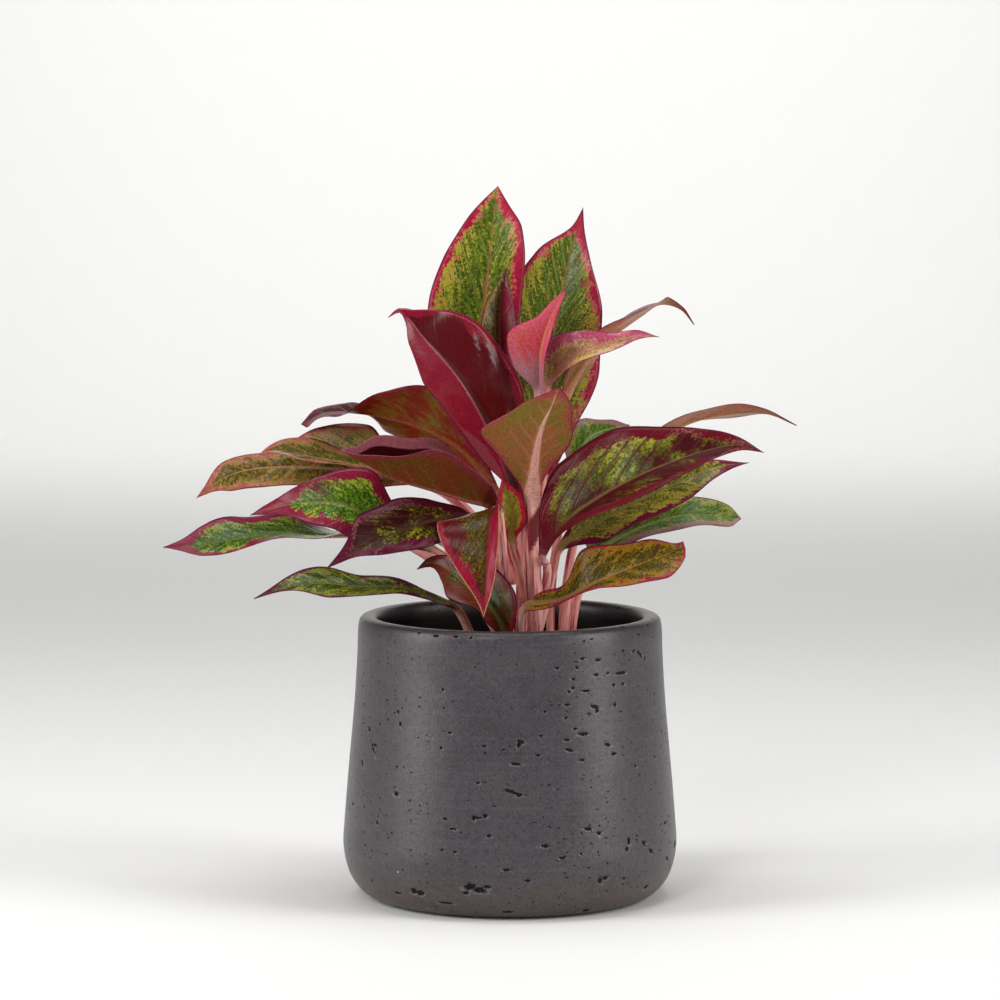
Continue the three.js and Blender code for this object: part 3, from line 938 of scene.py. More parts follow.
@dataclass(frozen=True)
class ConcreteFinish:
    """Cast concrete, dyed dark grey: waxed to a low sheen, with fine sand grain and air pits.
    Shade is painted inside the planter, on the rim's top and in the pits and pores, and a
    highlight is painted under each pit.
    """

    body: str = "#454044"
    dark: str = "#2f2a2e"
    light: str = "#5c5960"
    warm: str = "#50433b"
    # Painted highlight on the lower lip under each pit
    pit_lip_highlight: str = "#8b8588"
    # Painted shade on the rim's top face
    rim: str = "#2a2420"
    # Painted shade in the pits and pores
    pit: str = "#0f0c0c"
    speck: str = "#d8d4cd"
    # Painted shade inside the planter, below the rim
    inside: str = "#171211"
    roughness: float = 0.36
    gloss: float = 0.4

    def material(self) -> bpy.types.Material:
        """Builds the material."""
        shader = {"IOR": 1.5, "Specular IOR Level": self.gloss}
        material, add = new_material("cast_concrete", shader)
        own = add("TexCoord", [], "Object")
        # Pit edges break up over 1.5 mm
        jitter = add("TexNoise", {"Vector": own, "Scale": 650.0, "Detail": 2.0}, "Color")
        jitter = add("VectorMath", [jitter, (0.5, 0.5, 0.5)], **MINUS)
        jitter = add("VectorMath", {0: jitter, "Scale": 2.4 * MM}, operation="SCALE")
        ragged = add("VectorMath", [own, jitter], **PLUS)

        # How far each pit is pressed in, and below each pit a negative mark where a highlight is
        # painted on its lower lip
        pressed = add("Attribute", [], "Fac", attribute_name="pit")
        in_pit = add("MapRange", [pressed, 0.26, 0.42], **SOFT)
        in_pore = self._pores(add, ragged)
        # Pale sand specks of 0.6 mm, one in twenty cells of 9 mm
        cells = {"Vector": own, "Scale": 1 / (9 * MM)}
        apart = add("TexVoronoi", cells, "Distance")
        size = add("SeparateColor", [add("TexVoronoi", cells, "Color")], "Green")
        size = add("MapRange", [size, 0.95, 1.0, 0.0, 0.05])
        speck_edge = add("Math", [apart, size], **MINUS)

        # Faint level streaks 2 mm by 60 mm, clouds of 40 mm, mottles of 3 mm, sand of 1 mm
        stretched = add("Mapping", {"Vector": own, "Scale": (16.0, 16.0, 480.0)})
        streak = add("TexNoise", {"Vector": stretched, "Scale": 1.0, "Detail": 3.0})
        cloud = add("TexNoise", {"Vector": own, "Scale": 26.0, "Detail": 3.0, "Roughness": 0.6})
        mottle = add("TexNoise", {"Vector": own, "Scale": 330.0, "Detail": 3.0, "Roughness": 0.6})
        sand = add("TexNoise", {"Vector": own, "Scale": 1100.0, "Detail": 3.0, "Roughness": 0.7})
        height = add("SeparateXYZ", [own], "Z")
        radius = add("VectorMath", [own, (1.0, 1.0, 0.0)], **TIMES)
        radius = add("VectorMath", [radius], "Value", operation="LENGTH")
        # Painted shade: the inner wall and floor, below the rim, are painted near black
        inner = add("MapRange", [radius, 75.0 * MM, 74.0 * MM], **SOFT)
        below_rim = add("MapRange", [height, 139.5 * MM, 133.0 * MM], **SOFT)
        above_foot = add("MapRange", [height, 5.0 * MM, 6.0 * MM], **SOFT)
        inner = add("Math", [inner, below_rim], **TIMES)
        inner = add("Math", [inner, above_foot], **TIMES)
        colour = lay_colours(
            add,
            self.body,
            (cloud, (0.5, 0.75, 0.0, 0.3), self.warm),
            (cloud, (0.55, 0.35, 0.0, 0.4), self.dark),
            (streak, (0.5, 0.75, 0.0, 0.25), self.light),
            (height, (24.0 * MM, 12.0 * MM, 0.0, 0.6), self.warm),
            # painted shade darkens the rim's top face
            (height, (139.5 * MM, 141.5 * MM, 0.0, 0.85), self.rim),
            (mottle, (0.5, 0.3, 0.0, 0.5), self.dark),
            (sand, (0.5, 0.34, 0.0, 0.75), self.dark),
            (sand, (0.54, 0.7, 0.0, 0.65), self.light),
            # painted shade inside the planter
            (inner, (), self.inside),
            (speck_edge, (0.006, -0.006), self.speck),
            # painted highlight on the lower lip under each pit
            (pressed, (-0.2, -0.8, 0.0, 0.3), self.pit_lip_highlight),
            # painted shade in the pores and pits
            (in_pore, (), self.pit),
            (in_pit, (), self.pit),
        )
        holes = add("Math", [in_pit, in_pore], **LARGER)
        roughness = add("MapRange", [holes, 0.0, 1.0, self.roughness, 0.9])
        relief = add("Math", [sand, 0.5, mottle], **BLEND)
        relief = add("Math", [holes, -3.0, relief], **BLEND)
        bump = add("Bump", {"Strength": 0.5, "Distance": 0.3 * MM, "Height": relief})
        return dress(material, bump, colour, roughness)

    @staticmethod
    def _pores(add: Adder, ragged: Socket) -> Socket:
        """Scatters stray pores, 0.4 to 1.4 mm wide and half as tall, more of them in patches.

        Args:
            add: adds a node to the material's tree.
            ragged: object coordinates with a small jitter.

        Returns:
            Where the pores are.
        """
        found: Any = 0.0
        across = add("SeparateXYZ", [ragged], "X")
        crowded = add("MapRange", [across, 5.0 * MM, 30.0 * MM, 0.0, 0.16], **SOFT)
        for cell, share, widest in ((4.0, 0.5, 0.2), (8.0, 0.6, 0.13)):
            flattened = add("Mapping", {"Vector": ragged, "Scale": (1.0, 1.0, 2.1)})
            cells = {"Vector": flattened, "Scale": 1 / (cell * MM)}
            apart = add("TexVoronoi", cells, "Distance")
            chance = add("SeparateColor", [add("TexVoronoi", cells, "Color")], "Red")
            crowd = add("TexNoise", {"Vector": ragged, "Scale": 24.0, "Detail": 1.0})
            chance = add("Math", [crowd, 0.9, chance], **BLEND)
            chance = add("Math", [chance, crowded], **PLUS)
            size = add("MapRange", [chance, share + 0.5, share + 0.85, 0.0, widest])
            pore_edge = add("Math", [apart, size], **MINUS)
            in_pore = add("MapRange", [pore_edge, 0.02, -0.02], **SOFT)
            found = add("Math", [found, in_pore], **LARGER)
        return found


@dataclass
class Planter:
    """The concrete planter: a cast shell turned from its half section, in millimetres."""

    outside: tuple[tuple[float, float], ...] = (
        (66, 0), (70.5, 1), (75.5, 4.2), (80, 10), (82.8, 17.5), (84.2, 27), (83.6, 38), (82, 58),
        (80.2, 78), (78.4, 98), (76.9, 122), (76.2, 137.5), (75.4, 140.6), (73.4, 142),
        (69.2, 142), (67.4, 140.9), (66.7, 138.5), (68.2, 118), (70.8, 78), (73, 40), (72.4, 24),
        (69, 14), (62, 10),
    )
    floor: float = 10.0
    sides: int = 240
    step: float = 1.8
    pits: tuple[Pit, ...] = ()
    finish: ConcreteFinish = field(default_factory=ConcreteFinish)

    OUTER_SPANS = 12  # spans of the section from the foot to the rim
    OUTER_FROM = 74.2  # the outer face lies beyond this radius
    PIT_REACH = 8.0  # no pit marks the face farther from its middle than this

    def _section(self) -> StemCurve:
        """The smooth half section from the foot over the rim to the inner floor."""
        return StemCurve([(radius, 0.0, height) for radius, height in self.outside])

    def _face_place(self, pit: Pit, outer: Sequence[Vector]) -> Vector:
        """Finds where a pit lies on the outer face.

        Args:
            pit: the pit.
            outer: places along the outer face's section.

        Returns:
            Its place in millimetres.
        """
        back = -self.outside[5][0]
        for _ in range(8):
            place = PORTRAIT.seen(pit.across, pit.down, back)
            radius = min(outer, key=lambda sample: abs(sample.z - place.z)).x
            back = -math.sqrt(max(radius**2 - place.x**2, 0.0))
        return PORTRAIT.seen(pit.across, pit.down, back)

    def _press_pits(self, work: bmesh.types.BMesh) -> None:
        """Cuts the outer face finer at each pit, then presses the pit in.

        Args:
            work: the shell.
        """
        depth = work.verts.layers.float.new("pit")
        outer = self._section().samples[: self.OUTER_SPANS * StemCurve.STEPS_PER_SPAN]
        places = [(pit, self._face_place(pit, outer)) for pit in self.pits]
        front = [face for face in work.faces if face.calc_center_median().y < 0]
        centres = [(face, face.calc_center_median()) for face in front]
        centres = [pair for pair in centres if pair[1].xy.length > self.OUTER_FROM]
        cut = set()
        for pit, place in places:
            for face, centre in centres:
                level = abs(centre.z - place.z) < self.PIT_REACH
                if level and self._apart(pit, place, centre, 1.5) < 1:
                    cut.update(face.edges)
        bmesh.ops.subdivide_edges(work, edges=list(cut), cuts=4, use_grid_fill=True)
        faced = [vert for vert in work.verts if vert.co.xy.length > self.OUTER_FROM]
        for pit, place in places:
            inward = -Vector((place.x, place.y, 0)).normalized()
            for vert in faced:
                away = vert.co - place
                if max(abs(away.z), abs(away.x)) > self.PIT_REACH:
                    continue
                apart = self._apart(pit, place, vert.co, 0.25) + 0.7 * noise.noise(vert.co * 1.9)
                pressed = smoothstep(apart, 1.2, 0.7)
                if pressed > max(vert[depth], 0.0):
                    vert.co += inward * (pressed - max(vert[depth], 0.0)) * (0.3 + 0.3 * pit.tall)
                    vert[depth] = pressed
                # Below a pit the mark goes negative, where the finish paints a highlight on the
                # pit's lower lip
                elif vert.co.z < place.z and vert[depth] == 0:
                    vert[depth] = -smoothstep(apart, 2.0, 1.4) * min(pit.tall, 1.0)

    @staticmethod
    def _apart(pit: Pit, place: Vector, point: Vector, margin: float) -> float:
        """Measures how far a point lies from a pit, where 1 is the pit's edge.

        Args:
            pit: the pit.
            place: the pit's middle.
            point: the point, on the same face.
            margin: millimetres by which the pit is taken as wider.

        Returns:
            The distance in pit radii.
        """
        across = Vector((-place.y, place.x, 0)).normalized().dot(point - place)
        rise = point.z - place.z
        lean = math.radians(pit.lean)
        along = across * math.cos(lean) + rise * math.sin(lean)
        beside = rise * math.cos(lean) - across * math.sin(lean)
        return math.hypot(along / (pit.wide / 2 + margin), beside / (pit.tall / 2 + margin))

    def build(self) -> bpy.types.Object:
        """Makes the planter."""
        section = self._section()
        count = math.ceil(section.length / self.step)
        cast = [section.place(section.length * i / count) for i in range(count + 1)]
        base, hollow = ((0, 0), (40, 0)), ((30, self.floor), (0, self.floor))
        work = turned_shell([*base, *((place.x, place.z) for place in cast), *hollow], self.sides)
        self._press_pits(work)
        return finish_piece("planter", work, self.finish.material(), "concrete_pot")


@dataclass(frozen=True)
class PlasticFinish:
    """Thin black polypropylene, blow moulded: satin, with a faint orange-peel."""

    colour: str = "#17171a"
    dust: str = "#3a342e"

    def material(self) -> bpy.types.Material:
        """Builds the material."""
        material, add = new_material("black_polypropylene", {"Roughness": 0.45, "IOR": 1.49})
        own = add("TexCoord", [], "Object")
        # Dimples of about 1.5 mm, and dusty patches of about 15 mm
        dimple = add("TexNoise", {"Vector": own, "Scale": 650.0, "Detail": 1.0})
        dust = add("TexNoise", {"Vector": own, "Scale": 70.0, "Detail": 4.0, "Roughness": 0.65})
        colour = lay_colours(add, self.colour, (dust, (0.5, 0.75, 0.0, 0.5), self.dust))
        bump = add("Bump", {"Strength": 0.3, "Distance": 0.1 * MM, "Height": dimple})
        return dress(material, bump, colour)


@dataclass
class GrowersPot:
    """The thin pot that the plant was grown in, standing on the planter's floor."""

    base: float = 10.3
    height: float = 108.0
    foot_radius: float = 44.0
    lip_radius: float = 60.0
    lip_reach: float = 3.4
    wall: float = 1.4
    lip_drop: float = 7.0
    sides: int = 120
    finish: PlasticFinish = field(default_factory=PlasticFinish)

    SHARP = 0.6  # radians between two faces that meet at a corner
    ROUNDED = 0.4  # how wide a corner is rounded

    def build(self) -> bpy.types.Object:
        """Makes the grower's pot."""
        top = self.base + self.height
        inner = self.lip_radius - self.lip_reach
        under_lip = top - self.lip_drop
        places = [
            (0, self.base), (self.foot_radius, self.base), (inner, under_lip),
            (self.lip_radius, under_lip), (self.lip_radius, top), (inner, top),
            (inner - self.wall, under_lip),
            (self.foot_radius - self.wall, self.base + self.wall), (0, self.base + self.wall),
        ]
        work = turned_shell(places, self.sides)
        inner_edges = [edge for edge in work.edges if edge.is_manifold]
        corners = [edge for edge in inner_edges if edge.calc_face_angle() > self.SHARP]
        bmesh.ops.bevel(
            work, geom=corners, offset=self.ROUNDED, offset_type="OFFSET", segments=2,
            profile=0.5, affect="EDGES", clamp_overlap=True, material=-1,
        )
        material = self.finish.material()
        return finish_piece("growers_pot", work, material, "nursery_pot")


@dataclass(frozen=True)
class SoilFinish:
    """Damp peat with bark fines: very dark, crumbly, with a few paler fibres."""

    peat: str = "#241912"
    crumb: str = "#4a3526"
    fibre: str = "#7a6248"

    def material(self) -> bpy.types.Material:
        """Builds the material."""
        material, add = new_material("potting_peat", {"Roughness": 0.95, "IOR": 1.4})
        own = add("TexCoord", [], "Object")
        # Crumbs of 3 mm and fines of 0.8 mm
        crumb = add("TexVoronoi", {"Vector": own, "Scale": 1 / (3 * MM)}, "Distance")
        fines = add("TexNoise", {"Vector": own, "Scale": 1200.0, "Detail": 3.0, "Roughness": 0.7})
        tint = add("TexNoise", {"Vector": own, "Scale": 160.0, "Detail": 3.0})
        colour = lay_colours(
            add,
            self.peat,
            (tint, (0.48, 0.68), self.crumb),
            (fines, (0.66, 0.78, 0.0, 0.7), self.fibre),
        )
        relief = add("Math", [crumb, -1.0, fines], **BLEND)
        bump = add("Bump", {"Strength": 0.9, "Distance": 1.2 * MM, "Height": relief})
        return dress(material, bump, colour)


@dataclass
class Soil:
    """The potting soil: a lumpy top on a plug that fills the grower's pot."""

    level: float = 107.6
    top_radius: float = 54.0
    foot: float = 12.2
    foot_radius: float = 41.0
    lump: float = 1.1
    finish: SoilFinish = field(default_factory=SoilFinish)

    RINGS = 26
    RING_WIDTH = 2.0

    def build(self) -> bpy.types.Object:
        """Makes the soil."""
        work = bmesh.new()
        disc = bmesh.ops.create_circle(
            work, cap_ends=True, cap_tris=False, segments=96, radius=self.top_radius
        )
        bmesh.ops.translate(work, vec=(0, 0, self.level), verts=disc["verts"])
        for _ in range(self.RINGS):
            cap = max(work.faces, key=lambda face: len(face.verts))
            bmesh.ops.inset_region(
                work, faces=[cap], thickness=self.RING_WIDTH, use_even_offset=True
            )
        for vert in work.verts:
            inside = smoothstep(self.top_radius - vert.co.xy.length, 0.0, 6.0)
            lumps = noise.noise(vert.co * 0.09) + 0.7 * noise.noise(vert.co * 0.31)
            vert.co.z += inside * self.lump * (lumps - 0.4)
        rim = [edge for edge in work.edges if edge.is_boundary]
        wall = bmesh.ops.extrude_edge_only(work, edges=rim)
        low = [item for item in wall["geom"] if isinstance(item, bmesh.types.BMVert)]
        shrink = self.foot_radius / self.top_radius
        bmesh.ops.scale(work, vec=(shrink, shrink, 1), verts=low)
        bmesh.ops.translate(work, vec=(0, 0, self.foot - self.level), verts=low)
        close_ends(work)
        return finish_piece("soil", work, self.finish.material(), "potting_soil")


@dataclass(frozen=True)
class CaneFinish:
    """Fleshy cane: pale pink skin under dried sheath edges, with a ring where each leaf fell."""

    pale: str = "#c98d84"
    rose: str = "#a85560"
    husk: str = "#b59a6c"

    def material(self, name: str) -> bpy.types.Material:
        """Builds the material.

        Args:
            name: the material's name.

        Returns:
            The material.
        """
        material, add = new_material(name, {"Roughness": 0.42, "IOR": 1.42})
        own = add("TexCoord", [], "Object")
        # Streaks of 1.2 mm by 25 mm, and rings every 14 mm
        stretched = add("Mapping", {"Vector": own, "Scale": (800.0, 800.0, 40.0)})
        grain = {"Vector": stretched, "Scale": 1.0, "Detail": 3.0, "Roughness": 0.6}
        fibre = add("TexNoise", grain)
        height = add("SeparateXYZ", [own], "Z")
        stray = add("TexNoise", {"Vector": own, "Scale": 90.0})
        count = add("Math", [height, 1 / (RING_SPACING * MM), stray], **BLEND)
        line = add("Math", [count, 0.5], **FOLDED)
        in_ring = add("MapRange", [line, 0.07, 0.0, 0.0, 0.8], **SOFT)
        colour = lay_colours(
            add, self.pale, (fibre, (0.45, 0.62), self.rose), (in_ring, (), self.husk)
        )
        relief = add("Math", [in_ring, 0.6, fibre], **BLEND)
        bump = add("Bump", {"Strength": 0.4, "Distance": 0.3 * MM, "Height": relief})
        return dress(material, bump, colour)


@dataclass
class Cane:
    """One upright cane, a round taper along its axis in millimetres."""

    name: str
    axis: Places
    radius: tuple[float, float]
    finish: CaneFinish = field(default_factory=CaneFinish)

    COLUMNS = 32
    ROW_STEP = 1.5

    def build(self) -> bpy.types.Object:
        """Makes the cane."""
        curve = StemCurve(self.axis)
        rows = math.ceil(curve.length / self.ROW_STEP)

        def skin(row: int, column: int) -> tuple[Vector, dict[str, float]]:
            """The place at a row and a column, which carries no values."""
            share = row / rows
            radius = self.radius[0] + (self.radius[1] - self.radius[0]) * share
            centre = curve.place(share * curve.length)
            ring = 0.5 - 0.5 * math.cos(math.tau * centre.z / RING_SPACING)
            radius *= 1.0 - 0.05 * ring + 0.1 * smoothstep(share, 0.94, 0.9) - 0.1
            angle = math.tau * column / self.COLUMNS
            return centre + Vector((math.cos(angle), math.sin(angle), 0)) * radius, {}

        work = wrapped_tube(self.COLUMNS, rows, skin)
        material = self.finish.material(f"cane_skin_{self.name}")
        return finish_piece(f"{self.name}_stem", work, material, self.name)


# Finishes of the leaves, from the fresh crown down to the old shaded ones
CROWN = LeafFinish(
    deep="#3a4c0c", green="#5c701c", lime="#aaa436", gold="#b09040", margin="#a8163a",
    blush="#cc8468", edge="#5e1038", rib="#ac5c42", vein="#b0b878", margin_left=3.0,
    margin_right=5.5, ragged=7.0, lime_share=0.38, blush_share=0.6, fleck_share=0.5,
    vein_share=0.45, lime_rim=0.3, mottle_share=0.5, vein_width=0.05,
)
SPEAR = LeafFinish(
    deep="#2e2408", green="#4c3c0c", lime="#6e6424", margin="#74142a", wine="#6a1420",
    rib="#90343c", vein="#5c5424", margin_left=1.0, margin_right=5.0, lime_share=0.35,
    wine_right=1.3, fleck_share=0.1, gloss=0.2,
)
YOUNG_PINK = LeafFinish(
    deep="#c04050", green="#c84a56", lime="#bc5c44", gold="#c0604c", margin="#cc5064",
    edge="#9c2444", rib="#cc7c60", vein="#d07474", foot="#b07882", under="#b0646a",
    under_patch="#ac5858", under_margin="#bc6c74", under_rib="#cc8c8c", lime_share=0.3,
    fleck_share=0.1, foot_reach=24.0,
)
ROSE_UPPER = LeafFinish(
    deep="#94643c", green="#ac7850", lime="#b8a85c", gold="#c09858", margin="#b84a68",
    blush="#d8a09c", edge="#8c2448", rib="#c07c68", foot="#a86a48", under="#a85c58",
    under_patch="#966048", under_margin="#b86068", margin_left=5.5, margin_right=2.5,
    lime_share=0.5, fleck_share=0.2, blush_share=0.5, gloss=0.45, mottle_share=0.3,
)
WINE_RED = LeafFinish(
    deep="#5a0412", green="#6a0a1c", lime="#705020", gold="#6c3c1e", margin="#880c2a",
    blush="#903a44", edge="#8c2c44", rib="#3e0610", vein="#5c0a1a", wine="#5a0412",
    under="#7a1628", under_patch="#7a1628", under_margin="#8c2038", margin_left=24.0,
    margin_right=4.5, wine_share=0.55, lime_share=0.3, vein_share=0.1, fleck_share=0.2,
    roughness=0.18, gloss=0.32, relief=0.12,
)
OLIVE_UNDER = LeafFinish(
    deep="#3c3c12", green="#5c5a1c", under="#a0643c", under_patch="#80702e",
    under_margin="#a84848", under_rib="#e2a698", margin="#a82840", under_border=2.0,
    stalk_patch_at=(-25.0, -7.0),
)
ARCH_UNDER = LeafFinish(
    under="#80200c", under_patch="#70601a", under_margin="#8c1e30", under_rib="#904c30",
    deep="#3a1c24", green="#4a2430", lime="#5c4a34", gold="#6c4844", margin="#701c38",
    lime_share=0.3, under_border=2.5, margin_left=3.0, margin_right=3.0, gloss=0.12,
)
# Its upper face is a dark wine painted near black: painted shade in the slit of the folded blade
BROWN_UNDER = LeafFinish(
    under="#6a3218", under_patch="#5a4414", under_margin="#7c2c34", under_rib="#945648",
    deep="#2c0006", green="#360208", lime="#3e040a", gold="#3e040a", margin="#84464f",
    blush="#a8727a", edge="#985c66", wine="#2c0006", vein="#360208", rib="#360208",
    wine_share=0.5, lime_share=0.1, fleck_share=0.0, under_border=2.5, margin_left=0.5,
    margin_right=6.5, ragged=1.2, blush_share=0.2, gloss=0.0,
)
ORANGE_UNDER = LeafFinish(
    under="#a86440", under_patch="#866c34", under_margin="#a84e4a", under_rib="#c08464",
    deep="#5c1420", green="#6e101f", lime="#7a3020", gold="#7a3020", margin="#7c1c30",
    under_border=1.5,
)
ORANGE_UPPER = LeafFinish(
    deep="#4a440f", green="#66581c", lime="#94803a", gold="#9c6e38", margin="#ac5846",
    blush="#d08c70", edge="#944048", rib="#b88060", vein="#a4884c", margin_left=2.0,
    margin_right=2.6, ragged=7.0, lime_share=0.5, fleck_share=0.5, blush_share=0.5,
    mottle_share=0.4,
)
VIVID_RED_EDGE = LeafFinish(
    deep="#30520f", green="#547a1a", lime="#9aa834", gold="#a0943a", margin="#881436",
    edge="#5e1238", rib="#74762f", vein="#52702e", wine="#601030", margin_left=5.5,
    margin_right=6.5, ragged=8.0, lime_share=0.45, wine_share=0.1, gloss=0.35, blush="#a85a5c",
)
WINE_GREEN = LeafFinish(
    deep="#3c4a10", green="#646a1c", lime="#9a9830", gold="#98822e", margin="#64081e",
    edge="#541230", rib="#765430", vein="#500a1c", wine="#420410", foot="#700a22",
    margin_left=6.0, margin_right=4.0, ragged=8.0, lime_share=0.5, wine_share=0.27,
    wine_right=0.45, vein_share=0.85, foot_reach=26.0, gloss=0.2, all_veins=0.9,
    vein_width=0.17,
)
SECOND_GREEN = LeafFinish(
    deep="#566020", green="#7e8030", lime="#b8b048", gold="#b49848", margin="#80183c",
    edge="#6a1438", rib="#9a8a48", vein="#6a2424", wine="#641a2a", margin_left=1.8,
    margin_right=2.6, ragged=6.0, lime_share=0.55, wine_share=0.1, vein_share=0.4,
    all_veins=0.4,
)
GREEN_WINE_EDGE = LeafFinish(
    deep="#28420c", green="#406016", lime="#84942c", gold="#909030", margin="#801438",
    edge="#5c1440", rib="#6c7838", vein="#6c7c38", margin_left=3.2, margin_right=4.8,
    lime_share=0.42, blush="#a85a5c", gloss=0.2,
)
DARK_WINE = LeafFinish(
    deep="#1e1804", green="#42400c", lime="#989620", gold="#947420", margin="#520824",
    edge="#4c0e3c", rib="#4c2c14", vein="#4a2e10", wine="#34040e", foot="#380612",
    margin_left=5.0, margin_right=6.0, ragged=9.0, lime_share=0.56, wine_share=0.33,
    foot_reach=18.0, gloss=0.15,
)
CENTRE_RED = LeafFinish(
    deep="#2e2208", green="#524210", lime="#7e6824", gold="#78441a", margin="#900a2e",
    blush="#8c4454", edge="#c08c60", rib="#7c1824", wine="#540814", foot="#681428",
    margin_left=5.0, margin_right=5.0, ragged=7.0, lime_share=0.4, wine_share=0.3,
    vein_share=0.05, foot_reach=10.0, gloss=0.18,
)
SMALL_RED = LeafFinish(
    deep="#6c6018", green="#8a7c26", lime="#a89838", gold="#ac8434", margin="#b41430",
    edge="#7c0e26", rib="#a08430", wine="#7c1024", under="#7c1024", under_patch="#68101c",
    under_margin="#98162c", margin_left=3.0, margin_right=3.0, ragged=2.0, lime_share=0.45,
    fleck_share=0.2,
)
GREEN_PLUM_EDGE = LeafFinish(
    deep="#263a08", green="#42520e", lime="#828c26", gold="#7c742a", margin="#5c1836",
    edge="#46163c", rib="#6c6a34", vein="#5c6c2a", margin_left=1.8, margin_right=1.8,
    ragged=5.0, lime_share=0.45, gloss=0.2, blush="#7c4048",
)
PLAIN_GREEN = LeafFinish(
    deep="#3c5a1a", green="#587828", lime="#8a983e", gold="#989040", margin="#a07c74",
    edge="#7c4c54", rib="#8c985c", vein="#7c9050", margin_left=0.6, margin_right=3.6,
    ragged=3.0, lime_share=0.4, fleck_share=0.0,
)
GREEN_RED_EDGE = LeafFinish(
    deep="#40320a", green="#60520f", lime="#92741e", gold="#9c6820", margin="#942438",
    edge="#9c1a3c", rib="#987040", vein="#746830", margin_left=1.4, margin_right=1.4,
    ragged=4.0, lime_share=0.45,
)


CANES = (
    Cane("main_cane", ((6, 4, 80), (7.4, 4, 150), (8.9, 4, 222)), (5, 4)),
    Cane("right_cane", ((23, 8, 80), (23, 8, 104), (23.5, 8, 128)), (4.4, 3.4)),
    Cane("left_cane", ((-10, -6, 80), (-10, -6, 100), (-10.5, -6, 118)), (4, 3.2)),
    Cane("young_sheath", ((14, -16, 80), (14, -16, 110), (13, -16, 141)), (2.4, 0.8)),
)

